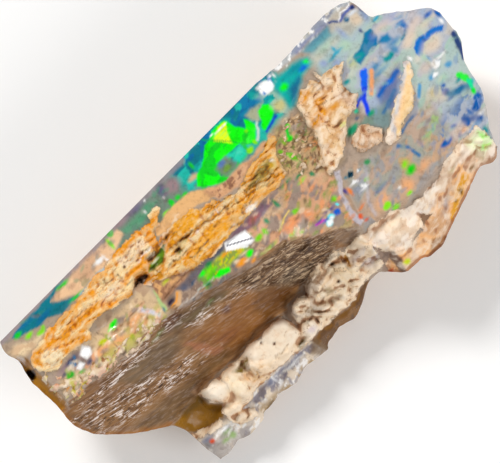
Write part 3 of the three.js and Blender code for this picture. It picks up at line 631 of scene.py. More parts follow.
def strokes(colour, half_width, *lines, soft=0.1, strength=1.0):
    """Patches along several lines, of one colour and width."""
    return [stroke(colour, line, half_width, soft, strength) for line in lines]


def spot(colour, x0, y0, half_x, half_y=None, turn=0, soft=0.12, strength=1.0):
    """An ellipse, turned by that many degrees from the stone's length."""
    half_y = half_y or half_x

    def depth(x, y):
        along, across = turned(x - x0, y - y0, turn)
        return (1 - np.hypot(along / half_x, across / half_y)) * min(half_x, half_y)

    return Patch(colour, depth, soft, strength)


def spots(colour, *places, soft=0.12, strength=1.0):
    """Ellipses (x, y, half x, half y) of one colour."""
    return [spot(colour, *place, soft=soft, strength=strength) for place in places]


def specks(colours, outline, count, half_length, strength, seed):
    """Small streaks scattered over an area, in each of the colours in turn."""
    rng = np.random.default_rng(seed)
    xs, ys = zip(*outline)
    places = rng.uniform((min(xs), min(ys)), (max(xs), max(ys)), (5 * count, 2))
    places = places[depth_inside(outline, *places.T) > SPECK_INSET][:count]
    scattered = []
    for index, (x0, y0) in enumerate(places):
        half_x = half_length * rng.uniform(*SPECK_SIZES)
        half_y = half_x * rng.uniform(*SPECK_FLATNESS)
        turn = rng.uniform(*SPECK_TURNS)
        tint = colours[index % len(colours)]
        scattered.append(spot(tint, x0, y0, half_x, half_y, turn, SPECK_SOFTNESS, strength))
    return scattered


CLEAR_GREEN, GREEN, DEEP_GREEN, OLIVE = (0, 246, 0), (15, 200, 40), (20, 125, 65), (150, 165, 50)
LIME, YELLOW, PALE_GREEN = (130, 225, 10), (225, 250, 10), (172, 200, 178)
TEAL, DEEP_TEAL, AQUA = (0, 145, 150), (0, 105, 130), (30, 190, 170)
BLUE, COBALT, SLATE, STEEL = (0, 118, 196), (0, 92, 172), (78, 118, 160), (116, 162, 188)
LAVENDER, PALE_LILAC, MAUVE, VIOLET = (178, 180, 206), (214, 212, 226), (150, 125, 128), (85, 70, 150)
WHITE, CREAM, TAN = (252, 251, 249), (240, 218, 188), (214, 172, 128)
SALMON, PEACH, ORANGE = (222, 150, 112), (240, 170, 110), (238, 150, 15)
RED_ORANGE, AMBER = (225, 85, 30), (152, 98, 18)
BROWN, DARK_BROWN, BLACK_BROWN, MAGENTA = (128, 88, 52), (66, 38, 16), (32, 18, 10), (210, 50, 190)

# Faces of the opal.
RIGHT_FACE = [
    (14, -0.6), (14.4, 3.6), (16.4, 5.2), (20, 6.2), (25, 4), (25, -2), (23, -9.6), (16.4, -7.4), (16, -3),
    (18.6, -0.8),
]
LOWER_FACE = [(9.4, -1.8), (7.2, -6.8), (12, -7.6), (18, -7), (18.6, -2.6), (14, -3.2)]
MIDDLE_FACE = [
    (-0.6, 0.9), (5.6, 1), (7, -0.4), (8.8, -1.2), (7, -6), (4.4, -4.4), (1.4, -2.7), (-0.8, -2.1),
]
BACK_MIDDLE = [(-1.4, 6), (-1.8, 9), (11, 9.2), (10.4, 5.4), (6, 4.6), (1, 4.8)]
LEFT_FACE = [(-21, 0.8), (-20.2, 2.6), (-16, 2.6), (-10, 2.8), (-10, -0.2), (-16, 0.3)]
STRIP = [(-21.6, 7.4), (-21.6, 8.1), (-1.6, 8.3), (-1.6, 6.4), (-4, 6.6), (-8, 7), (-12, 7)]
RIM_AREA = [
    (-15.6, -9.8), (-15.6, -12.8), (-2.2, -12.6), (-2.8, -10.3), (-8.6, -10), (-10.4, -10.5),
    (-12.4, -10.2),
]

OPAL_BASE = (172, 152, 134)

# Broad body colours, most of them mottled.
BODY_PAINT = [
    area((172, 150, 128), [(-23, 5.5), (-23, 9), (-8, 9), (-8, 6), (-14, 5.6)], 0.5),
    area((112, 132, 116), [(-9, 5.8), (-9, 9), (-1.4, 9), (-0.8, 5.6), (-4, 5)], 0.7),
    area((0, 156, 152), BACK_MIDDLE, 0.8),
    *mottles(BACK_MIDDLE, (DEEP_TEAL, 1.5, 0.36), (AQUA, 1.1, 0.25)),
    mottle((0, 105, 165), [(-1.2, 7), (-1.2, 9), (10, 9), (9, 7.2), (2, 7.4)], 1.2, 0.45),
    area((164, 188, 188), [(13.4, 5), (14, 7.1), (17, 7.4), (20.4, 6.8), (20.4, 5.2), (16, 4.7)], 0.5),
    area((174, 180, 192), RIGHT_FACE, 0.6),
    *mottles(RIGHT_FACE, ((206, 196, 182), 1.6, 0.3), ((158, 176, 200), 1.4, 0.3), soft=0.6, strength=0.7),
    mottle(PALE_GREEN, RIGHT_FACE, 1.8, 0.16, 0.6, 0.6),
    area((104, 116, 158), [
        (15.4, -0.6), (15.6, 0.6), (16.4, 1.2), (19, 1.4), (17.6, 0), (16.2, -0.9),
    ], 0.35),
    area((122, 146, 146), [
        (14, -1.6), (13.8, -0.2), (14.6, 0.4), (16, -0.2), (15.6, -1.4), (14.8, -2),
    ], 0.4),
    area((178, 196, 190), [(19, -1), (19.4, -4.6), (23, -4), (23.6, -1.4), (21, -0.6)], 0.7, 0.7),
    area((186, 160, 140), LOWER_FACE, 0.7),
    *mottles(
        LOWER_FACE, ((160, 162, 150), 1.4, 0.35), ((196, 160, 128), 1.3, 0.25),
        ((156, 154, 154), 1.1, 0.14),
    ),
    area((190, 160, 118), [(5.6, -1), (5.8, 3.4), (7.4, 4.8), (10, 4.6), (10, -1)], 0.6),
    area((174, 154, 138), [(8.2, 5), (8.4, 3.4), (9.2, 2), (9.8, 2.6), (10.2, 4.8)], 0.4),
    area((170, 158, 84), [(5.4, 1.2), (5.8, 2.8), (6.6, 3.2), (6.8, 1.8), (6.2, 1)], 0.3, 0.8),
    *mottles(
        ROUGH_MIDDLE, ((160, 132, 100), 0.6, 0.35), ((130, 146, 76), 0.5, 0.12),
        ((206, 166, 122), 0.4, 0.3),
    ),
    mottle((112, 84, 58), ROUGH_MIDDLE, 0.3, 0.06, 0.3),
    *spots((236, 150, 90), (9.2, 1.6, 0.25, 0.2), (9.2, 0.8, 0.2, 0.2), soft=0.2),
    area((200, 162, 122), MIDDLE_FACE, 0.5),
    *mottles(
        MIDDLE_FACE, ((214, 160, 124), 1.3, 0.4), ((165, 152, 100), 1.1, 0.3), ((150, 135, 125), 0.9, 0.3),
    ),
    area((140, 116, 100), [(-10, -0.6), (-9.4, 1.6), (-1, 1), (0.4, -2), (-3, -2.2), (-6, -1.4)], 0.5),
    *mottles(
        [(-9.6, -0.6), (-8, 1), (-3, 0.8), (-1, -1.8), (-6, -1.4)], ((100, 108, 112), 0.5, 0.3),
        ((176, 150, 128), 0.35, 0.25),
    ),
    *strokes(
        (214, 208, 200), 0.05, [(-9, -0.5), (-7.8, -0.45)], [(-8, -0.7), (-6.8, -0.65), (-6.2, -0.9)],
        soft=0.08, strength=0.7,
    ),
    area((214, 184, 144), [(-21, 1), (-20, 3.2), (-15.8, 3), (-9.6, 3), (-9.6, -0.2), (-16, 0.4)], 0.5),
    mottle((176, 144, 116), [(-15.6, 3.6), (-9.6, 3.6), (-9.6, 1.8), (-15, 1.8)], 0.9, 0.6),
    mottle((236, 212, 176), [(-20, 1), (-16, 3), (-15, 1), (-18, 0.2)], 0.6, 0.45),
    area((240, 212, 170), CREAM_CORNER, 0.3, 0.9),
    mottle((214, 178, 140), CREAM_CORNER, 0.7, 0.3, 0.3),
    area((118, 102, 106), [
        (-19.8, 2.7), (-18, 3), (-16.4, 2.6), (-16.9, 1.2), (-18.2, 1.5), (-19.2, 2),
    ], 0.3, 0.8),
    mottle((225, 160, 115), [(-17, 0.6), (-17, 2), (-10.6, 2), (-10.4, 0)], 0.8, 0.4),
    mottle((190, 180, 90), [(-17, 0), (-17, 1.4), (-10, 1), (-10, -0.6)], 0.6, 0.3),
]

# The strip along the straight edge, left of the large green flash.
STRIP_PAINT = [
    stroke((148, 136, 142), [(-22, 8.05), (0, 8.4)], 0.28, 0.15, 0.8),
    area((234, 192, 150), [
        (-16.5, 7.5), (-12, 7.95), (-8, 7.9), (-7.9, 7.3), (-10.3, 6.4), (-12.2, 6.4), (-14, 6.3),
        (-14.9, 6.8),
    ]),
    mottle((212, 168, 132), [(-16.5, 7.5), (-12, 8.1), (-10.4, 8), (-11, 6.6), (-14.9, 6.6)], 1.2, 0.25),
    mottle((160, 148, 110), [(-14.5, 7), (-11, 7), (-11, 6.3), (-14, 6.3)], 0.6, 0.4),
    area((0, 118, 135), [
        (-20.9, 7.65), (-19.2, 7.9), (-16.9, 7.95), (-14.3, 8.15), (-16.4, 7.5), (-15.9, 7), (-14.9, 6.55),
        (-13.8, 6.25), (-16.3, 6.1), (-17.5, 6.7), (-18.3, 6.7), (-19.5, 7), (-20.5, 7.2),
    ], 0.1),
    *spots((0, 96, 160), (-17.7, 7.05, 0.7, 0.2), (-19.4, 7.65, 0.8, 0.12), soft=0.2, strength=0.75),
    *spots(
        GREEN, (-20.3, 7.4, 0.4, 0.2), (-14.6, 7.85, 0.5, 0.14), (-14.4, 6.3, 0.6, 0.12),
        (-8.6, 8.1, 0.3, 0.3),
    ),
    *spots(
        LIME, (-19.6, 6.75, 0.35, 0.16), (-18.7, 6.25, 0.42, 0.22), (-18.3, 6.45, 0.16, 0.16),
        (-9.25, 7.5, 0.2, 0.5),
    ),
    stroke((165, 190, 200), [(-14, 6.15), (-11.4, 6.4), (-10.3, 6.3)], 0.14),
    # Painted glints beside a mirror-like facet.
    *spots(WHITE, (-10.9, 7.1, 0.5, 0.14), (-10.4, 6.7, 0.08, 0.4), (-11.2, 7.2, 0.3, 0.1)),
    area((92, 150, 116), [
        (-7.8, 7.6), (-4.4, 7.7), (-4, 7.2), (-5.5, 6.95), (-6.5, 6.85), (-7.7, 7.1),
    ], 0.2),
    *spots((95, 90, 125), (-2.9, 7.7, 0.4, 0.5), (-5.8, 8.1, 0.7, 0.2), soft=0.3),
    *spots(MAUVE, (-2, 7.4, 0.7, 0.6), (-7.5, 8.2, 0.9, 0.2), soft=0.35),
    *spots(WHITE, (-3.2, 7.15, 0.08, 0.08), (-4.6, 8.1, 0.07, 0.07), (-5.3, 7.4, 0.1, 0.14)),
    *spots(
        GREEN, (-3.1, 6.35, 0.26, 0.36), (-2.4, 6.4, 0.24, 0.2), (-1.85, 6.1, 0.28, 0.14),
        (-3.2, 5.95, 0.26, 0.16), (0.35, 7.5, 0.16, 0.36),
    ),
    *spots(LIME, (-2.8, 5.9, 0.4, 0.12), (-4, 6.1, 0.3, 0.1)),
    spot(TAN, -0.3, 6.65, 0.45, 0.24, soft=0.15, strength=0.9),
]

# The tan bands between the strip and the middle seam.
TAN_BAND_PAINT = [
    area((228, 178, 120), [
        (-6, 5.2), (-5.5, 5.75), (-4.3, 6), (-2.5, 6.1), (-1.4, 5.9), (-0.6, 5.4), (0.4, 4.9), (0, 4.2),
        (-2, 4.8), (-5, 4.8),
    ], 0.1),
    area((216, 164, 120), [
        (-0.4, 5.2), (1.4, 4.5), (2.9, 4.6), (3.5, 4.75), (4.1, 4.4), (5.3, 4.6), (7, 4.8), (7.2, 4.2),
        (4.6, 4.2), (2, 3.4), (0, 3.8),
    ]),
    mottle((165, 118, 92), [(-0.4, 5), (1.4, 4.5), (4, 4.4), (4.6, 4.1), (2, 3.4), (0, 3.8)], 0.7, 0.4),
    mottle(CREAM, [(-5, 5.3), (-3.6, 5.3), (-3.6, 4.8), (-5, 4.8)], 0.5),
]

# The large green flash.
GREEN_FLASH_PAINT = [
    area(CLEAR_GREEN, [
        (-0.6, 5.8), (0, 6.6), (0.8, 6.8), (1.6, 7.2), (2.3, 8), (3, 8.1), (3.6, 8.5), (4.1, 8.5), (5, 8.3),
        (5.2, 7.5), (5.9, 6.6), (6.3, 7.2), (6.6, 6.8), (6.7, 6.2), (6, 5.6), (5.7, 4.9), (5.2, 5.3),
        (4.5, 6), (3.2, 6), (2, 6.1), (1.4, 5.9), (1.5, 5.1), (1.9, 4.6), (1.3, 4.6), (0.2, 5.2),
    ], 0.08),
    mottle((0, 195, 30), [
        (-0.4, 5.4), (0.6, 7), (3, 8.4), (5, 8), (6.4, 6.6), (5.6, 5), (1.2, 4.6),
    ], 0.8, 0.2, 0.2),
    area(YELLOW, [(3.1, 7.7), (4.1, 6.4), (4.3, 7), (4.9, 8.2), (4.2, 8.3), (3.5, 8)], 0.08),
    *spots((150, 240, 90), (3.7, 7.95, 0.3, 0.05), (4.1, 7.6, 0.3, 0.05), (4.3, 7.25, 0.2, 0.05)),
    stroke(WHITE, [(3.2, 8.25), (4.9, 8)], 0.05, 0.06, 0.8),
    stroke((0, 175, 60), [(2.5, 8.5), (5.7, 4.8)], 0.05, 0.05, 0.8),
    area((110, 130, 110), [(1.5, 5.9), (3, 6.05), (3.2, 5), (2.9, 4.7), (1.9, 4.7), (1.6, 5.2)], 0.25),
    spot((90, 120, 175), 2.2, 5.8, 0.4, 0.2),
    spot((110, 150, 60), 2.3, 5.2, 0.4, 0.25),
    area((30, 205, 170), [(3.2, 5.9), (4.5, 5.9), (4.5, 5), (3.5, 4.75)], 0.2),
    *spots(LIME, (4.9, 5, 0.3, 0.25), (5.6, 5.1, 0.16, 0.2), (5.8, 6.4, 0.12, 0.1)),
    area(CLEAR_GREEN, [
        (7.5, 6.9), (8.2, 7), (8.8, 6.6), (8.8, 6), (8, 5.5), (7, 5.1), (6.8, 5.6), (7.3, 6.1),
    ], 0.1),
    stroke((215, 225, 215), [(5.9, 5.1), (6.6, 5.9), (7.3, 6.7)], 0.1, strength=0.85),
    area((165, 170, 140), [(6.6, 7.3), (7.2, 7.4), (8.4, 7.2), (7.6, 6.9), (7.2, 6.2), (6.8, 6.6)], 0.2),
    stroke((10, 70, 190), [(7, 5.1), (8.5, 5.5)], 0.12),
    spot(AQUA, 6.5, 5, 0.2, 0.4),
    mottle(PALE_GREEN, [(8.4, 7.8), (9.8, 7.6), (9.8, 5.2), (8.8, 4.8), (8.8, 6.8)], 0.9, 0.55),
    spot((196, 190, 130), 9.3, 5.9, 0.5, 0.5, soft=0.3),
    # Painted glint and sparkles.
    *spots(
        WHITE, (9.4, 7.9, 0.62, 0.55), (10.3, 8.3, 0.2, 0.14), (10.7, 8.1, 0.1, 0.2),
        (10.4, 7.6, 0.12, 0.1), (8.9, 8.3, 0.14, 0.1),
    ),
    *spots(BLUE, (10.1, 8, 0.22, 0.3), (9.05, 7.65, 0.14, 0.14)),
]

# The back of the right half.
BACK_RIGHT_PAINT = [
    area((0, 172, 166), [
        (9.8, 5), (10.1, 7.8), (12.4, 7.8), (13.8, 7.3), (13.9, 6.6), (12.4, 6.3), (11, 5.6),
    ], 0.3),
    area((10, 112, 152), [(10.2, 5.2), (10.8, 6.4), (12.2, 6.6), (12, 6.2), (11, 5.6)], 0.3),
    spot((0, 135, 150), 12.4, 7.3, 0.8, 0.3, soft=0.3),
    *spots(CLEAR_GREEN, (10.6, 6.8, 0.4, 0.32), (13.4, 7.05, 0.2, 0.18), soft=0.18),
    spot((0, 105, 215), 12.9, 6.85, 0.4, 0.24, soft=0.2),
    area((98, 158, 168), [(13.8, 7.9), (16.8, 8), (16.6, 7.1), (14.4, 7.1)], 0.3),
    spot((75, 130, 155), 15.6, 7.8, 1, 0.16, soft=0.25),
    area((182, 184, 184), [
        (10.6, 9), (11, 8.2), (13, 8), (14.4, 8.2), (17, 8.2), (18.4, 8.3), (20, 8), (20, 9.2),
    ]),
    mottle((208, 198, 180), [(13, 9), (14, 8.3), (19, 8.2), (19, 9)], 0.7, 0.4, 0.2),
    mottle((136, 144, 166), [(11, 9), (11.4, 8.2), (19.4, 8.2), (19, 9)], 0.6, 0.3, 0.2),
    # Painted highlights: white flecks along the glassy top rim.
    mottle(WHITE, [(10.6, 8.6), (11, 7.9), (17, 8.1), (19.8, 8.2), (19, 9)], 0.3, 0.16, 0.2),
    stroke((132, 138, 168), [(13.4, 8.15), (15, 8.3), (16.8, 8.15)], 0.16, 0.15, 0.9),
    area((196, 190, 176), [
        (16.9, 7.4), (17.2, 8.2), (18.4, 8.4), (19.5, 7.6), (19.4, 6.2), (17.6, 6),
    ], 0.4, 0.8),
    spot((216, 196, 172), 19, 6.7, 0.45, 0.5, soft=0.3),
    *spots((210, 196, 174), (14.5, 6.6, 0.7, 0.35), (16.2, 6.6, 0.5, 0.25), soft=0.4, strength=0.7),
    *spots(PALE_GREEN, (16.8, 5.7, 0.5, 0.45), (15.5, 6.8, 0.6, 0.2), soft=0.35),
    *spots(
        (150, 166, 200), (15.3, 5.2, 0.4, 0.25), (14.4, 5.9, 0.3, 0.3), (17.3, 6.6, 0.18, 0.5),
        (19.7, 6.4, 0.25, 0.5), soft=0.25,
    ),
    *spots((50, 160, 188), (15.7, 5.75, 0.65, 0.13), (15.9, 6.1, 0.12, 0.3), (20.3, 5.55, 0.35, 0.16)),
    *spots((70, 82, 125), (18.65, 5.7, 0.14, 0.2), (19.9, 7, 0.1, 0.4)),
    stroke((24, 62, 125), [(17.1, 8.1), (17.5, 7.95), (17.8, 7.6)], 0.1),
    stroke((86, 100, 165), [(18, 7.5), (18.7, 7.75), (19.3, 7.8)], 0.16, 0.12),
    # Painted highlight along the top rim.
    stroke(WHITE, [(17.9, 7.6), (18.4, 7.95), (19, 7.98), (19.5, 8.1)], 0.06, 0.06, 0.9),
    spot((0, 92, 132), 18.4, 7.2, 0.26, 0.24),
    spot((14, 40, 105), 19.5, 7.65, 0.26, 0.22),
    spot((215, 220, 228), 19.1, 7.3, 0.5, 0.14, soft=0.15),
    area((0, 118, 158), [
        (16.5, 4.5), (17.4, 4.7), (18, 4.95), (18.8, 5.4), (19.4, 5.3), (19.3, 4.3), (18.9, 3.9),
        (18.1, 3.75), (17.8, 3.95), (16.7, 3.6),
    ], 0.1),
    area((70, 130, 165), [(17.5, 4), (17.7, 4.6), (18.1, 4.8), (18, 3.9)]),
    spot((0, 104, 176), 18.9, 4.6, 0.35, 0.5, soft=0.2),
    *spots(TEAL, (14.7, 3.45, 0.35, 0.18), (18.8, 2.5, 0.55, 0.28), (17, 4.2, 0.5, 0.3)),
    area((20, 122, 172), [(19, 3.9), (19.6, 4.15), (20.2, 4), (20.1, 3.4), (19.6, 3.3)], 0.2),
    area((20, 108, 180), [(21.2, 4), (21.9, 3.9), (21.9, 3), (21.5, 2.8), (21, 2.85), (21.5, 3.3)], 0.12),
    stroke((0, 125, 158), [(20.7, 2.8), (21.6, 3)], 0.12),
    *spots((198, 192, 196), (20.3, 4.5, 0.8, 0.35), (22.7, 3.7, 0.7, 0.3), soft=0.3),
    *spots(
        (162, 168, 202), (21.6, 4.7, 0.8, 0.3), (22.3, 3, 0.7, 0.25), (23.2, 1.9, 0.5, 0.3), soft=0.3,
        strength=0.8,
    ),
    *spots((192, 180, 166), (17.3, 3.4, 0.7, 0.2), (17.9, 1.6, 0.7, 0.16), soft=0.3, strength=0.6),
    spot((146, 150, 138), 16.6, 2.1, 0.7, 0.5, 30, soft=0.3, strength=0.8),
    spot((182, 190, 146), 16.2, 4.2, 0.35, 0.4, soft=0.3),
    *spots((216, 202, 178), (21.1, 2.3, 0.7, 0.3), (22.9, 2.3, 0.5, 0.25), soft=0.3, strength=0.8),
    *spots(
        (80, 138, 178), (17.3, 2.1, 0.7, 0.14), (17.4, 2.65, 0.5, 0.25), (19.6, 2.6, 0.35, 0.35),
        (20, 3.1, 0.6, 0.2), soft=0.22,
    ),
    stroke((10, 98, 238), [(16.5, 3.1), (15.4, 1.95)], 0.26, 0.08),
    stroke((8, 60, 228), [(15.4, 1.95), (14.7, 1.2), (14.2, 0.2)], 0.2),
    stroke((20, 62, 215), [(13.9, 1.35), (14.8, 1.6)], 0.16),
    spot((0, 215, 165), 13.6, 1.1, 0.2, 0.16),
    stroke((240, 162, 104), [(17, 2.7), (16.3, 2), (15.5, 1.15)], 0.17, strength=0.95),
    spot((20, 80, 120), 13.2, 0.6, 0.22, 0.12),
    stroke((20, 96, 184), [(15.9, 0.65), (17, 0.9), (17.8, 1), (18.5, 1.05)], 0.2, 0.15),
    spot((0, 105, 205), 17.4, 0.95, 0.35, 0.2, soft=0.1),
    stroke((40, 104, 156), [(15.2, -0.7), (16, -0.4), (17.2, 0)], 0.16, 0.15, 0.9),
    *spots((0, 150, 105), (12.3, 0.15, 0.7, 0.28), (14.4, 0.1, 0.4, 0.18)),
    area((118, 142, 128), [(12.9, 0), (13.8, 0.3), (14.3, -0.2), (14, -0.9), (13.4, -0.4)], 0.2),
]

# The right end.
RIGHT_END_PAINT = [
    area((0, 108, 196), [
        (20.6, 1), (20.8, 1.55), (21.4, 1.8), (22.2, 1.82), (23.2, 1.6), (24, 1.15), (23.6, 0.85),
        (23.2, 1), (22.6, 1.3), (21.9, 1.25), (21.5, 0.95), (21.1, 0.6), (20.7, 0.65),
    ], 0.07),
    stroke((0, 44, 112), [(24.05, 0), (23.9, -0.8), (23.4, -2)], 0.26, strength=0.95),
    spot(COBALT, 24.3, 2.2, 0.18, 0.45),
    spot((58, 108, 188), 23.7, 2.75, 0.4, 0.2, soft=0.15),
    *spots((212, 206, 192), (22.2, 0.6, 1, 0.4), (20.4, 0.6, 0.35, 0.3), soft=0.35),
    *spots((168, 200, 176), (20.8, -2, 0.5, 0.3), (21, 0.2, 0.2, 0.5), soft=0.25),
    # Painted glints.
    *spots(
        WHITE, (21.2, -0.75, 0.34, 0.36), (22, -0.55, 0.5, 0.1), (20.6, -1.35, 0.2, 0.1),
        (24.1, 1.5, 0.12, 0.24), (19.95, 1.1, 0.16, 0.24),
    ),
    *spots(
        (84, 152, 196), (21.5, -0.7, 0.16, 0.12), (22, -1.5, 0.3, 0.24), (20.2, -1.3, 0.22, 0.2),
        (21.2, -0.1, 0.12, 0.3), soft=0.15,
    ),
    stroke((76, 150, 200), [(19, -1.1), (18.3, -1.75)], 0.15, 0.12),
    spot((206, 192, 152), 19.4, -2.4, 0.6, 0.4, soft=0.35),
]

# The lower right.
LOWER_RIGHT_PAINT = [
    spot((195, 170, 60), 13.4, -5.1, 0.45, 0.5, soft=0.3, strength=0.6),
    spot((0, 205, 0), 13.5, -5.8, 0.45, 0.36, soft=0.2),
    spot(LIME, 13.4, -5.1, 0.3, 0.2, soft=0.2),
    *spots(
        PEACH, (10, -6, 0.7, 0.4), (12.4, -6.5, 0.5, 0.6), (14.6, -6.3, 0.7, 0.3), (18.9, -6.3, 0.5, 0.3),
        soft=0.4, strength=0.8,
    ),
    *spots(
        LIME, (9.9, -6.6, 0.36, 0.3), (10.4, -7.1, 0.34, 0.2), (12, -7.15, 0.3, 0.16),
        (16, -8.1, 0.25, 0.16), (10.2, -3.7, 0.2, 0.1),
    ),
    stroke((20, 105, 160), [(14.1, -3.6), (14.6, -4.2), (14.8, -5.4)], 0.17, 0.12, 0.9),
    *spots(
        (60, 95, 160), (15.6, -4.8, 0.12, 0.3), (16.5, -4.6, 0.5, 0.14), (20.1, -3.7, 0.3, 0.14),
        (10.6, -5.1, 0.6, 0.2), soft=0.15, strength=0.8,
    ),
    stroke(SLATE, [(15, -2.9), (16.8, -2.6)], 0.1),
    *spots(
        (0, 88, 170), (17.3, -6.15, 0.6, 0.3), (18.7, -5.65, 0.25, 0.2), (19.7, -6.1, 0.36, 0.4),
        (21.3, -5.8, 0.6, 0.36), (20.7, -6.7, 0.3, 0.2), (20.3, -3, 0.34, 0.26), (20.5, -2.5, 0.2, 0.14),
    ),
    *spots(
        COBALT, (21.2, -3.7, 0.5, 0.26), (21.9, -5.2, 0.4, 0.3), (20.5, -5.7, 0.14, 0.3),
        (20.2, -2.7, 0.1, 0.1), (21.7, -5.6, 0.4, 0.2),
    ),
    *spots(WHITE, (20.9, -6.5, 0.5, 0.1), (11.8, -6.1, 0.14, 0.08)),
    *spots((0, 225, 40), (22.1, -2.8, 0.3, 0.2), (22.3, -3.3, 0.3, 0.3), (22, -4.6, 0.25, 0.3)),
    spot(AQUA, 22.3, -3.9, 0.35, 0.3),
    *spots(TEAL, (20.5, -7.7, 0.2, 0.35), (20.2, -8.3, 0.16, 0.3), (21.8, -3, 0.4, 0.14)),
    spot((0, 90, 130), 19.8, -9.5, 0.3, 0.12),
    mottle((160, 190, 120), [(15, -3.4), (19, -3), (19, -5), (16, -5)], 0.9, 0.2),
    mottle((90, 125, 175), [(16, -5), (22, -4), (22, -6), (17, -6)], 0.7, 0.25),
]

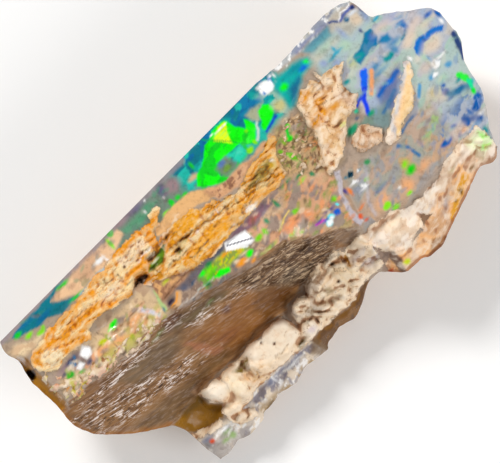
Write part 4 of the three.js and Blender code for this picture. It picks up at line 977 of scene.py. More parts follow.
# The middle, between the seams and the ridge.
MIDDLE_PAINT = [
    *spots(MAUVE, (-19.2, 2.5, 1.2, 0.4), (-17.4, 1.4, 0.7, 0.3), soft=0.3),
    *spots((60, 62, 90), (-18.5, 2.6, 0.6, 0.24), (-17.5, 1.6, 0.3, 0.14), (-19.8, 2.2, 0.3, 0.1)),
    area(CLEAR_GREEN, [
        (-14.6, 2.3), (-14, 2.6), (-13.4, 2.6), (-13.2, 2.4), (-13.5, 2.1), (-14.3, 2.1),
    ], 0.1),
    *spots((10, 170, 10), (-19.4, 1.85, 0.42, 0.3), (-18.6, 1.3, 0.3, 0.14)),
    *spots((20, 110, 160), (-18.6, 2.3, 0.26, 0.3), (-18.1, 2.6, 0.1, 0.2)),
    *spots(
        (190, 200, 20), (-15.5, 1.95, 0.42, 0.25), (-13.4, 0.6, 0.3, 0.25), (-8.1, 1.9, 0.3, 0.14),
        (-17.5, 0.9, 0.2, 0.14),
    ),
    spot(OLIVE, -14.9, 1.8, 0.2, 0.5),
    area(ORANGE, [(-21, 1.1), (-19.8, 1.7), (-19.9, 1.3)], 0.1),
    *spots(PEACH, (-16.3, 1.5, 0.6, 0.3), (-12.4, 1.4, 1, 0.3), (-14.4, 1.1, 0.6, 0.3), soft=0.25),
    stroke(DARK_BROWN, [(-15.4, 2.9), (-15, 2.4), (-14.9, 0.5)], 0.04, 0.06, 0.7),
    stroke(BROWN, [(-14.8, 2), (-12.6, 1.85), (-10.8, 2)], 0.06, 0.06, 0.8),
    stroke(PALE_LILAC, [(-11.3, 1.7), (-10.8, 1), (-10.5, 0.2)], 0.2, 0.15, 0.9),
    area((175, 200, 130), [(-10, 0.1), (-9.9, 1), (-9.4, 2.1), (-9.1, 2), (-9.6, 1), (-9.6, 0.1)], 0.1),
    spot((0, 90, 130), -9.9, 0.35, 0.1, 0.2),
    area((188, 140, 102), [(-9.5, 0.9), (-9.2, 2.6), (-8, 2.6), (-7, 1.9), (-5.6, 1.2), (-7, 0.95)]),
    mottle((148, 104, 76), [(-9.5, 0.9), (-9.2, 2.6), (-7, 1.9), (-5.6, 1.1)], 0.35, 0.35, 0.2),
    mottle((226, 172, 112), [(-9.4, 1.4), (-9, 2.7), (-7, 2), (-6, 1.2)], 0.3, 0.3, 0.2),
    stroke((96, 62, 40), [(-9.2, 1), (-8, 1.2), (-6.4, 1.25)], 0.06, 0.08, 0.8),
    spot((190, 205, 30), -8.1, 1.9, 0.3, 0.14, soft=0.15),
    area(TAN, [(-9.4, -0.2), (-8.8, 0.1), (-7.9, 0.8), (-7.6, 0.5), (-8, 0.1), (-8.6, -0.4)], 0.08),
    stroke(ORANGE, [(-9.2, 0.05), (-8.7, 0.05), (-8, 0.6)], 0.07),
    spot((45, 30, 50), -9, 0.4, 0.4, 0.2),
    *spots((30, 80, 120), (-7.3, 0.5, 0.3, 0.2), (-3.2, 0.6, 0.6, 0.14), (-6.5, 0.2, 0.4, 0.1), soft=0.2),
    area((96, 92, 104), [(-8, 0.9), (-7.4, 0.3), (-3, 0.4), (-2.4, 0.9)], 0.2, 0.8),
    area((180, 200, 14), [
        (-5.6, -0.4), (-5.2, 0.25), (-3, 0.3), (-1.2, -0.2), (-1, -0.85), (-3.4, -0.9), (-5, -0.8),
    ], 0.25),
    mottle((60, 210, 20), [(-6, -0.9), (-5.8, 0.4), (-3.6, 0.4), (-3, -1)], 0.6, 0.45, 0.2),
    mottle((214, 180, 40), [
        (-3.8, -0.6), (-3.4, 0.4), (-2.2, 0.4), (-1, -0.4), (-1.2, -1),
    ], 0.4, 0.35, 0.2),
    mottle((120, 150, 70), [(-6, -1), (-6, 0.3), (-1, 0.2), (-1, -1.2)], 0.3, 0.22, 0.2),
    stroke((206, 214, 200), [(-6.6, -0.5), (-5, -0.75), (-3.6, -1)], 0.05, 0.08, 0.7),
    spot(LIME, -4.8, -0.1, 0.5, 0.14, soft=0.2),
    area(CLEAR_GREEN, [(-5, -0.8), (-4.2, -0.6), (-3.3, -1), (-3.6, -1.3), (-4.6, -1.1)], 0.08),
    *spots(CLEAR_GREEN, (-1.3, -1.3, 0.4, 0.22), (-5.4, 0.25, 0.3, 0.16)),
    *spots(DEEP_GREEN, (-4.4, 0.45, 0.36, 0.16), (-5.6, -0.8, 0.3, 0.16)),
    *spots((238, 150, 30), (-2.3, -1.4, 0.5, 0.25), (-3, 0.1, 0.4, 0.14), (-1.4, -1.9, 0.3, 0.14)),
    *spots(
        (232, 208, 176), (-2.6, -1.1, 0.22, 0.12), (-1.9, -1.55, 0.22, 0.08), (-1, -1.8, 0.26, 0.08),
        (-1.6, -0.95, 0.3, 0.07),
    ),
    # Painted glint on the largest mirror-like facet.
    area(WHITE, [(-2.65, 0.2), (-2.2, 0.8), (-0.3, 0.3), (-0.3, -0.6), (-1, -0.75)], 0.06),
    area((132, 100, 116), [(-0.3, 0.3), (-2, 0.85), (2.4, 1.1), (3, 0.3), (0.8, 0.1)], 0.2),
    spot((190, 95, 70), 1, 0.6, 0.5, 0.25, soft=0.25, strength=0.8),
    mottle((110, 100, 105), [(2, 1), (4.4, 1.1), (3.4, -0.4), (2.6, 0)], 0.5),
    # Painted glints.
    *spots(
        WHITE, (1.4, 1.45, 0.5, 0.16), (1.9, 1.3, 0.3, 0.1), (0.2, 1.3, 0.12, 0.1), (-0.8, 1.5, 0.1, 0.1),
    ),
    *spots((60, 60, 70), (0.6, 1.35, 0.3, 0.08), (-0.6, 1.4, 0.3, 0.1), (-0.2, 1.1, 0.2, 0.06)),
    stroke(GREEN, [(8.3, 4.1), (7.8, 3.4)], 0.14),
    *spots((20, 220, 10), (7.9, 3.4, 0.28, 0.2), (7, 2.1, 0.2, 0.28), (8.5, 4.2, 0.2, 0.16)),
    stroke((110, 190, 10), [(6.5, 3.2), (7, 2.2), (7, 1.6)], 0.14),
    spot((130, 180, 20), 7.3, 3.5, 0.14, 0.3),
    *spots(
        (0, 125, 70), (6.3, 0.45, 0.45, 0.14), (3.3, 0.1, 0.18, 0.4), (7.2, -0.1, 0.2, 0.2),
        (1.6, -0.4, 0.2, 0.24), (5, 0.9, 0.5, 0.1),
    ),
    *spots(
        (120, 210, 20), (0.2, -0.9, 0.4, 0.2), (0.95, -0.9, 0.2, 0.3), (3.9, -1.4, 0.4, 0.2),
        (7.1, -2.95, 0.26, 0.2),
    ),
    *spots(
        (150, 200, 60), (0.2, -2.1, 0.7, 0.14), (2.5, -2.6, 0.3, 0.14), (3.2, -3.1, 0.2, 0.12),
        (6.2, 0, 0.4, 0.14),
    ),
    *spots(
        (240, 150, 90), (3, -2, 0.9, 0.4), (4.5, -2.5, 0.3, 0.6), (5.3, -2.8, 0.4, 0.14),
        (7.6, -2.4, 0.4, 0.14), soft=0.25, strength=0.8,
    ),
    stroke((250, 215, 110), [(1.8, -1.7), (3, -1.2), (3.6, -1)], 0.06),
    stroke(MAGENTA, [(4.4, -3.5), (5.2, -3.75)], 0.09),
    *spots((90, 235, 245), (5.3, -4.2, 0.3, 0.26), (5.8, -3.9, 0.26, 0.24), (6.95, -3.45, 0.14, 0.14)),
    # Painted glints on a mirror-like facet.
    *spots(WHITE, (5.8, -4, 0.16, 0.14), (5.3, -4.3, 0.12, 0.1)),
    *spots((0, 90, 200), (6.4, -3.95, 0.3, 0.3), (5.3, -3.85, 0.3, 0.08)),
    *spots(VIOLET, (6.1, -3.35, 0.5, 0.14), (4.9, -3.5, 0.4, 0.08), (8.2, -3.2, 0.14, 0.3)),
    # Painted reflections: pale lilac bands along the edges of the rib and of a second ridge.
    area((210, 205, 215), [
        (8.7, -1.4), (9.1, -1.6), (8.4, -2.6), (7.9, -3.4), (7.5, -4.6), (7.6, -6), (7.1, -6.2), (6.9, -5),
        (7.4, -3.6), (8, -2.3),
    ], 0.1, 0.9),
    stroke((190, 184, 190), [(11.2, -2.6), (10.2, -3.8), (9, -5.2), (8.7, -6.4)], 0.14, 0.15, 0.7),
    spot((60, 150, 90), 11.3, -2.7, 0.26, 0.3),
    *spots(RED_ORANGE, (7.7, -5.6, 0.26, 0.22), (7.9, -6.15, 0.2, 0.1)),
    *spots((238, 130, 60), (8.5, -3.5, 0.16, 0.36), (8.2, -5.1, 0.3, 0.1)),
    spot((80, 85, 100), 9.6, -4.05, 0.4, 0.14, -30, strength=0.7),
]

# The left rim and the front.
LEFT_AND_FRONT_PAINT = [
    area((152, 126, 108), [
        (6.2, -8.2), (6.9, -8), (7.7, -9.9), (7.6, -11.6), (6.9, -11.9), (5.7, -10.3), (6.2, -9.8),
    ]),
    area((150, 116, 88), [(11.1, -9), (11.6, -9), (12.3, -9.9), (11, -10.1)]),
    mottle((120, 98, 84), [(6.2, -8.2), (6.9, -8), (7.4, -9.4), (6.4, -9.8)], 0.3, 0.35, 0.2),
    area((176, 118, 20), [
        (-22.8, -2), (-22.8, 6.4), (-21.5, 6), (-21.2, 3), (-21.4, -0.4), (-21.8, -2),
    ], 0.12),
    area(AMBER, [(-22.1, 6), (-21.2, 5.6), (-21.1, 4.6), (-22, 5)]),
    # Painted shade in the pit of the notch at the left end.
    area(BLACK_BROWN, [(-22.2, 5), (-21.7, 4.6), (-21.35, 4.3), (-21.6, 3.8), (-22.3, 3.6)], 0.1),
    mottle((120, 76, 20), [(-22.6, 0), (-22.6, 4), (-21.3, 3.6), (-21.6, 0.6)], 1.4, 0.35, strength=0.3),
    area((150, 102, 14), RECESS),
    # Painted shade: a darker band along the recess's top edge, under the flank.
    area((108, 74, 6), [(-15, -7), (-12.9, -6.9), (-12.8, -7.8), (-15, -7.6)], 0.3),
    area((124, 78, 0), LIP),
    mottle((92, 54, 0), LIP, 0.7, 0.35, 0.2),
    area((206, 192, 178), RIM_AREA, 0.2),
    area((170, 160, 156), [
        (-15.5, -10.6), (-15.6, -12.6), (-10.6, -12.6), (-12.6, -11.4), (-13, -10.8), (-14.4, -10.9),
    ], 0.25),
]

# Mottling of the front rim and the tan bands, scattered specks, and a dark crystal.
FINE_PAINT = [
    *mottles(
        RIM_AREA, ((150, 142, 146), 0.7, 0.3), ((234, 214, 188), 0.9, 0.35), ((244, 240, 236), 0.35, 0.1),
        soft=0.2,
    ),
    area((180, 168, 158), [
        (-15.6, -10.9), (-15.6, -12.6), (-12.4, -12.6), (-12.8, -11.2), (-14.2, -10.9),
    ], 0.4, 0.75),
    mottle((120, 112, 126), [(-10, -10.2), (-2.6, -10.4), (-3, -11.2), (-10, -11.2)], 0.5, 0.3, 0.2),
    mottle((160, 128, 80), [(-10, -11.4), (-10, -12.4), (-2.2, -12.4), (-2.2, -11.2)], 0.6, 0.4, 0.3),
    area((120, 92, 60), [(-3.6, -11.2), (-3, -10.6), (-2.2, -10.4), (-2.1, -12), (-3, -11.9)], 0.2, 0.8),
    area((110, 82, 30), [(-10, -11.9), (-8.6, -11.7), (-8.6, -12.2), (-10, -12.1)], 0.1),
    area((150, 142, 140), [(-15.5, -10), (-15.6, -10.8), (-14.8, -11), (-14.4, -10.2)], 0.2),
    mottle((226, 178, 138), [
        (0, 4.8), (1.4, 4.5), (4, 4.7), (6.6, 4.7), (4.6, 4.2), (2, 3.4), (0, 3.8),
    ], 0.6, 0.3, 0.15),
    mottle((146, 100, 78), [(0, 4.6), (2, 4.5), (4, 4.3), (2, 3.4), (0, 3.8)], 0.35, 0.25, 0.15),
    *specks(
        [(112, 84, 64), (234, 206, 176), (122, 152, 56), (236, 150, 92), (140, 122, 122), (208, 170, 138)],
        MIDDLE_FACE, 90, 0.4, 0.6, 401,
    ),
    *specks(
        [(126, 94, 64), (248, 228, 198), (160, 168, 80), (234, 164, 114), (150, 138, 132), (246, 222, 188)],
        LEFT_FACE, 90, 0.4, 0.6, 402,
    ),
    *specks(
        [(92, 68, 46), (222, 192, 152), (112, 150, 54), (228, 150, 86)], ROUGH_MIDDLE, 36, 0.28, 0.5, 403,
    ),
    *specks(
        [(150, 160, 146), (196, 162, 136), (140, 148, 168), (140, 122, 108)], LOWER_FACE, 60, 0.6, 0.5, 404,
    ),
    *specks(
        [(112, 156, 190), (204, 202, 190), (146, 190, 170), (88, 128, 180)], RIGHT_FACE, 80, 0.55, 0.42,
        405,
    ),
    *specks([(96, 112, 112), (150, 150, 140), (62, 150, 112), (132, 104, 112)], STRIP, 40, 0.4, 0.4, 407),
    area((0, 70, 95), [(9.1, -2.5), (9.5, -2.1), (9.8, -2.4), (9.5, -2.7)], 0.06),
    *spots((0, 120, 145), (9, -2.35, 0.16, 0.1), (10.3, -2.7, 0.2, 0.1)),
    # Painted glints along the crack at the right.
    *spots(
        WHITE, (10.2, -2.65, 0.1, 0.1), (9.2, -3.2, 0.3, 0.07), (9.6, -4.1, 0.3, 0.07),
        (9.5, -3.8, 0.1, 0.1),
    ),
    spot((225, 90, 55), -14.8, -10.6, 0.24, 0.24),
    *spots(
        (140, 180, 90), (-13.9, -11.4, 0.3, 0.16), (-13.2, -11.5, 0.3, 0.3), (-13.4, -10.9, 0.3, 0.1),
        soft=0.2, strength=0.8,
    ),
    *spots(
        (134, 136, 156), (-15, -10.2, 0.4, 0.14), (-7.7, -10.5, 0.6, 0.3), (-11, -10.7, 0.3, 0.16),
        (-9.2, -9.8, 0.4, 0.12), (-5.4, -10.5, 0.8, 0.14), soft=0.2,
    ),
    # Painted highlights on the front rim.
    *spots(
        WHITE, (-13.4, -10.6, 0.7, 0.12), (-7.3, -10.3, 0.1, 0.4), (-5.2, -10.7, 0.9, 0.1),
        (-9.6, -10, 0.4, 0.1),
    ),
]

# The right end: cream drifts between the blue, and the long green flash at the edge.
END_DRIFT_PAINT = [
    stroke((224, 202, 180), [(22.7, 3), (21.8, 2.8), (20.7, 2.1)], 0.35, 0.35, 0.75),
    *spots(
        (222, 196, 172), (22.1, 0.7, 0.8, 0.5), (20.5, -0.4, 0.7, 0.4), (19.7, -3.1, 0.7, 0.35), soft=0.4,
        strength=0.6,
    ),
    *spots((214, 190, 168), (19, -5.9, 0.6, 0.3), (20.1, 4.7, 0.8, 0.25), soft=0.3, strength=0.6),
    stroke((30, 112, 150), [(20.4, -3.4), (21.4, -3.8), (21.9, -4)], 0.32, 0.25, 0.8),
    stroke((20, 78, 150), [(19.7, -5.8), (20.1, -6.2), (20.6, -6.6)], 0.26, 0.2, 0.8),
    stroke((40, 240, 60), [(22, -2.7), (22.2, -3.1), (22.3, -3.6)], 0.24),
    stroke((20, 226, 150), [(22.3, -3.7), (22.1, -4.2)], 0.2, 0.12),
]
OPAL_PAINT = (
    BODY_PAINT + STRIP_PAINT + TAN_BAND_PAINT + GREEN_FLASH_PAINT +
    BACK_RIGHT_PAINT + RIGHT_END_PAINT + LOWER_RIGHT_PAINT + MIDDLE_PAINT +
    LEFT_AND_FRONT_PAINT + FINE_PAINT + END_DRIFT_PAINT
)

GROUND_BASE = (242, 214, 180)
SEAM_ORANGE = (244, 156, 10)

# Body colours of the matrix.
MATRIX_BODY_PAINT = [
    area((255, 228, 176), LEFT_SEAM, 0.2),
    area((240, 166, 56), MIDDLE_SEAM, 0.2),
    area((216, 142, 34), SEAM_LINK, 0.2),
    area((196, 162, 120), ROUGH_MIDDLE, 0.3),
    *mottles(ROUGH_MIDDLE, ((168, 138, 106), 0.6, 0.4), ((232, 206, 168), 0.3, 0.25), soft=0.2),
    area((236, 198, 150), PORE_MASS, 0.2),
    area((216, 174, 136), TAN_PATCH, 0.2),
    area((244, 208, 150), CREAM_VEIN),
    area((244, 216, 180), TERRACE_CREAM, 0.3),
    area((252, 228, 200), LEDGE, 0.25),
    area((242, 194, 146), SKIRT, 0.2),
    area((216, 180, 134), BROKEN_LEFT, 0.2),
    *mottles(
        BROKEN_LEFT, ((150, 110, 72), 0.6, 0.35), (CREAM, 0.5, 0.3), ((200, 190, 60), 0.4, 0.14),
        (SALMON, 0.6, 0.2), soft=0.2,
    ),
]

# The left seam: pale bands bordered and streaked with orange.
LEFT_SEAM_PAINT = [
    mottle(SEAM_ORANGE, LEFT_SEAM, 0.8, 0.28, 0.2),
    stroke(SEAM_ORANGE, [(-18.8, 4.6), (-17.5, 4.75), (-15, 4.6), (-13, 4.5)], 0.3, 0.15),
    stroke(SEAM_ORANGE, [(-18.8, 5.7), (-16, 5.9), (-14, 5.8), (-13.2, 5.5)], 0.28, 0.15),
    stroke(SEAM_ORANGE, [(-20.9, 5), (-20.3, 5.3), (-18.4, 5)], 0.25, 0.15),
    *strokes(
        SEAM_ORANGE, 0.2, [(-20.8, 5.2), (-20.7, 4.2)],
        [(-18.5, 4), (-16.4, 3.9), (-14, 3.85), (-12, 3.6), (-10.8, 3.3)], soft=0.15,
    ),
    stroke(SEAM_ORANGE, [(-18.2, 3.4), (-16.5, 3.4)], 0.25, 0.15),
    area(SEAM_ORANGE, [(-16.9, 3.2), (-15.8, 3.1), (-16, 2.5), (-16.6, 2.6)], 0.1),
    stroke(SEAM_ORANGE, [(-13, 6.1), (-11.6, 6.2), (-10.6, 6.2)], 0.2, 0.12),
    stroke((246, 156, 10), [(-9.6, 6.55), (-8, 6.6), (-5.8, 6.4), (-5, 6.4)], 0.3, 0.12),
    area((246, 156, 10), [(-7.2, 4.8), (-6.4, 6), (-5.9, 6.2), (-5.9, 4.9), (-6.4, 4.7)]),
    stroke(SEAM_ORANGE, [(-9.6, 4.4), (-8.2, 4.4), (-8, 4.8)], 0.35, 0.15),
    area((255, 236, 200), [(-20.2, 3.4), (-20.2, 4.8), (-18.8, 4.6), (-18.6, 3.5)], 0.25),
    spot((250, 228, 196), -12.1, 4.6, 1.1, 0.4, soft=0.3),
    area((255, 230, 196), [(-9.7, 5.1), (-9.9, 6.2), (-7, 6.1), (-7.2, 5.2)], 0.2),
    stroke((150, 90, 40), [(-9.7, 5.95), (-7.2, 5.9)], 0.035, 0.05),
    stroke((150, 90, 40), [(-9.5, 5.5), (-7.6, 5.6)], 0.03, 0.05),
    stroke((120, 70, 35), [(-8.9, 5.05), (-7, 5.05)], 0.04, 0.05),
    stroke(WHITE, [(-8.8, 4.85), (-7, 4.95)], 0.07, 0.06, 0.8),
    stroke((150, 80, 20), [(-18, 4.8), (-14.4, 4.7)], 0.05, 0.08, 0.7),
    stroke((160, 90, 20), [(-17, 5.85), (-14.6, 5.95)], 0.04, 0.08, 0.7),
    # Dark brown spots; those at (-7.9, 5.1) and (-9.75, 5.2) are painted shade in pits.
    *spots(
        DARK_BROWN, (-7.9, 5.1, 0.12, 0.09), (-9.75, 5.2, 0.14, 0.1), (-10.7, 4.9, 0.07, 0.2),
        (-5.6, 5.7, 0.2, 0.06), (-12, 5.7, 0.2, 0.06),
    ),
    stroke(BLACK_BROWN, [
        (-15.6, 3.4), (-15, 3.55), (-13.4, 3.6), (-13, 3.2), (-11.6, 3.1), (-10.6, 3.2), (-10, 3.6),
    ], 0.05, 0.07, 0.8),
    stroke(BLACK_BROWN, [(-10.8, 4), (-10.3, 4), (-9.6, 3.7)], 0.05, 0.06, 0.9),
]

# Where the seams meet: a cavity in painted shade with a painted glint, a green window and dark pockets.
SEAM_MEETING_PAINT = [
    area((96, 140, 20), [
        (-8.7, 3.4), (-7.9, 3.9), (-7, 4.1), (-5.9, 4.1), (-6.4, 3.7), (-7.3, 3.3), (-8.2, 3.25),
    ], 0.1),
    area((62, 84, 16), [(-7.2, 4.1), (-6, 4.4), (-5.8, 4.1), (-6.6, 3.9)], 0.1),
    spot((120, 85, 95), -7.6, 4.4, 0.4, 0.16, soft=0.15),
    area((84, 66, 20), [(-8, 4.05), (-7.9, 4.6), (-7, 4.65), (-6.9, 4.2)], 0.1, 0.8),
    area((214, 140, 20), [(-9, 2.4), (-8.8, 3.3), (-7.6, 3.2), (-7.2, 2.8), (-7.8, 2.4)]),
    # Painted shade in the cavity.
    area(BLACK_BROWN, [(-10.4, 3.2), (-9.9, 3.7), (-8.9, 3.7), (-8.9, 3.3), (-9.8, 3.15)], 0.1),
    # Painted glint.
    spot(WHITE, -9.25, 3.5, 0.12, 0.1),
    *spots(
        DARK_BROWN, (-6.2, 4.55, 0.4, 0.1), (-5.5, 4.6, 0.1, 0.2), (-5.6, 4.7, 0.5, 0.05),
        (-7.9, 3, 0.08, 0.2), (-6.2, 2.9, 0.4, 0.06), (-8.9, 2.8, 0.3, 0.06),
    ),
]

# The middle seam: orange and yellow with cream strands and dark slits; painted shade in its pits; painted
# glints.
MIDDLE_SEAM_PAINT = [
    *mottles(MIDDLE_SEAM, ((238, 152, 16), 0.7, 0.5), ((250, 220, 160), 0.6, 0.2), soft=0.2),
    area((246, 170, 20), [(-4.2, 4), (-4.2, 4.9), (-2.4, 4.9), (-1.8, 4), (-2.6, 3.6)], 0.25, 0.85),
    area((244, 168, 28), [(-5.6, 1.3), (-4.6, 2.6), (-1.2, 2.6), (0.2, 1.4), (-2, 1)], 0.3, 0.8),
    stroke((250, 222, 168), [(-5, 1.6), (-3, 1.45), (-0.4, 1.3)], 0.09, strength=0.9),
    stroke((250, 226, 180), [(-6.8, 2.9), (-4.6, 2.8), (-2, 2.9), (0.5, 2.3)], 0.16, 0.12, 0.9),
    stroke((248, 222, 178), [(-2.6, 3.6), (0.6, 3.1), (2.2, 3)], 0.14, 0.12, 0.9),
    stroke((248, 222, 172), [(1.2, 1.9), (3, 1.55), (4.6, 1.5)], 0.16, 0.12),
    stroke((243, 165, 35), [(2.4, 3.4), (4.2, 3.6), (5, 4), (7, 4.3)], 0.2, 0.12),
    area((240, 150, 25), [(4.6, 1.2), (4.8, 2.2), (5.6, 1.9), (5.4, 1.2)]),
    area((170, 116, 86), [(-9.3, 1.1), (-9.1, 2.2), (-7, 1.9), (-6, 1.4), (-6, 1)], 0.25),
    area((186, 160, 90), [(2.3, 2.5), (3, 3), (5, 3.6), (5.8, 3.1), (5.6, 2.4), (4, 2.3)]),
    area((150, 128, 56), [
        (2.2, 2.6), (3.4, 3), (5.2, 3.2), (5.6, 2.8), (4.6, 2.5), (3, 2.35),
    ], strength=0.8),
    spot((214, 178, 60), 5.3, 2.7, 0.3, 0.25),
    *spots((80, 58, 24), (2.9, 2.7, 0.5, 0.1), (3.8, 2.3, 0.9, 0.06)),
    # Painted glint on a mirror-like facet.
    area(WHITE, [(0.9, 1.3), (1.1, 1.7), (1.8, 1.55), (2.3, 1.3), (1.6, 1.15)], 0.06),
    *spots(
        (56, 52, 66), (-0.8, 1.4, 0.2, 0.1), (0.4, 1.3, 0.35, 0.08), (0.7, 1.6, 0.12, 0.16),
        (-0.3, 1.2, 0.25, 0.07),
    ),
    # Painted glints.
    *spots(WHITE, (-0.5, 1.45, 0.1, 0.07), (0.15, 1.4, 0.1, 0.08)),
    *spots((186, 150, 110), (0.4, 1.6, 0.8, 0.16), (3.2, 1.4, 0.6, 0.12), soft=0.2, strength=0.7),
    # Painted shade in a slit-shaped pit.
    spot((30, 22, 10), -4.2, 3.42, 0.85, 0.06),
    *spots((70, 96, 16), (-4.5, 3.3, 0.35, 0.1), (-5.5, 3, 0.3, 0.1)),
    # Painted shade in a pocket.
    area((56, 34, 10), [(-6, 3.2), (-5.5, 3.4), (-5.2, 3.3), (-5.3, 3), (-5.7, 3.05)], 0.06),
    *spots(
        WHITE, (-4, 3.1, 0.07, 0.1), (-3.2, 3.1, 0.16, 0.06), (-0.8, 3.1, 0.07, 0.12),
        (5.5, 3.1, 0.14, 0.08),
    ),
    stroke(DARK_BROWN, [(0.9, 3.6), (1.5, 3.5), (1.9, 3.2)], 0.07, 0.06),
    # Dark brown spots; those at (-0.9, 3.95), (6, 4.32), (-1.9, 2.33) and (5.7, 3.9) are painted shade in
    # pits.
    *spots(
        DARK_BROWN, (-0.9, 3.95, 0.25, 0.05), (6, 4.32, 0.35, 0.04), (-1.9, 2.33, 0.25, 0.05),
        (0, 2.8, 0.1, 0.2), (1, 2.7, 0.08, 0.16), (2.1, 2.7, 0.08, 0.2), (5.7, 3.9, 0.08, 0.08),
        (4.6, 2.2, 0.6, 0.04),
    ),
    *strokes(
        (92, 50, 14), 0.06, [(-5.9, 3.55), (-4.6, 3.6), (-3, 3.5)], [(-4.9, 4.4), (-4.1, 4.2)],
        [(2.4, 3.05), (3.6, 3.2), (4.6, 3.15)], [(5, 3.45), (6.6, 4.1)], [(-2.4, 3.2), (-1.2, 3.35)],
        [(4.4, 3.75), (5.8, 3.8)], [(-1.6, 3.8), (0.2, 3.55), (1.8, 3.1)],
        [(2.2, 3.3), (3.6, 3.45), (5.2, 3.9)], [(2.2, 2.5), (3.8, 2.25), (5, 2.1)],
        [(-3.4, 3.3), (-1, 2.95), (0.6, 2.85)], [(1.6, 2.3), (3.2, 2), (5.2, 1.85)],
        [(-7, 2.75), (-5.4, 2.6), (-4, 2.45)], [(-5.4, 1.9), (-3, 1.9)], [(0.8, 1.9), (2.6, 1.7)],
        soft=0.06, strength=0.9,
    ),
    *strokes(
        (248, 170, 14), 0.12, [(-5.6, 3.7), (-4.8, 4.2), (-3.8, 4.1)], [(-4.6, 2.3), (-2.2, 2.35)],
        [(2.6, 3.6), (4, 3.75), (6.6, 4.4)], [(-1, 2.5), (1.8, 2.2)], soft=0.12, strength=0.8,
    ),
    stroke((120, 64, 20), [(-7.6, 1), (-7, 1.2), (-6.2, 1.3), (-5.6, 0.9), (-3, 0.95)], 0.05, 0.06, 0.8),
    stroke(BROWN, [(-1.4, 3.5), (0.6, 3.2)], 0.04, 0.05, 0.7),
    area((152, 120, 100), [(-15.7, 3.4), (-12.8, 3.3), (-12.5, 2), (-15, 1.9)], 0.25),
]

# The pore mass, the patch and the vein.
PORE_PAINT = [
    *mottles(PORE_MASS, ((214, 164, 110), 0.6, 0.3), ((246, 218, 184), 0.5, 0.3), soft=0.2),
    *spots(
        (228, 150, 8), (11.2, 5.15, 0.6, 0.45), (11.8, 3.8, 0.6, 0.35), (11.1, 3, 0.8, 0.45),
        (10.3, 2.9, 0.4, 0.4), (12.4, 2.6, 0.6, 0.22), soft=0.25,
    ),
    area((204, 160, 126), [(13.2, 3.4), (14.2, 3.2), (14.4, 2.2), (13.6, 1.6)], 0.3, 0.8),
    *spots(
        (128, 84, 42), (12.7, 4.6, 0.16, 0.06), (13.7, 4.6, 0.14, 0.06), (12.6, 5, 0.6, 0.05),
        (14.2, 3.1, 0.4, 0.06), (11.9, 3.5, 0.3, 0.06), (10.6, 3.1, 0.3, 0.05), (12, 1.4, 0.4, 0.05),
    ),
    stroke((150, 100, 56), [(11.5, -1.65), (12.6, -1.75)], 0.1, strength=0.9),
    stroke((186, 138, 98), [(12, -0.5), (13, -0.6)], 0.08, strength=0.8),
    area((186, 162, 118), [(10.6, -1), (10.4, -0.6), (11, -0.5), (11, -1)], 0.1),
    spot((206, 206, 90), 12.1, 1, 0.3, 0.25),
    area((208, 204, 206), [
        (13.6, -3), (14.6, -1.9), (16.2, -0.9), (18.4, 0.7), (19.6, 1.7), (19.9, 1), (19, 0.4),
        (17.6, -0.6), (15.9, -1.8), (14.4, -2.9),
    ], 0.12),
    *spots(
        (226, 176, 100), (16.7, -1.9, 0.14, 0.5), (18.8, -0.7, 0.3, 0.14), (15.8, -1.8, 0.2, 0.4),
        soft=0.15, strength=0.7,
    ),
    spot((248, 226, 206), 14, -2.6, 0.5, 0.5, soft=0.2),
    stroke((250, 206, 150), [(15.4, -2.2), (17, -1), (18.6, -0.2)], 0.25, 0.2, 0.8),
]

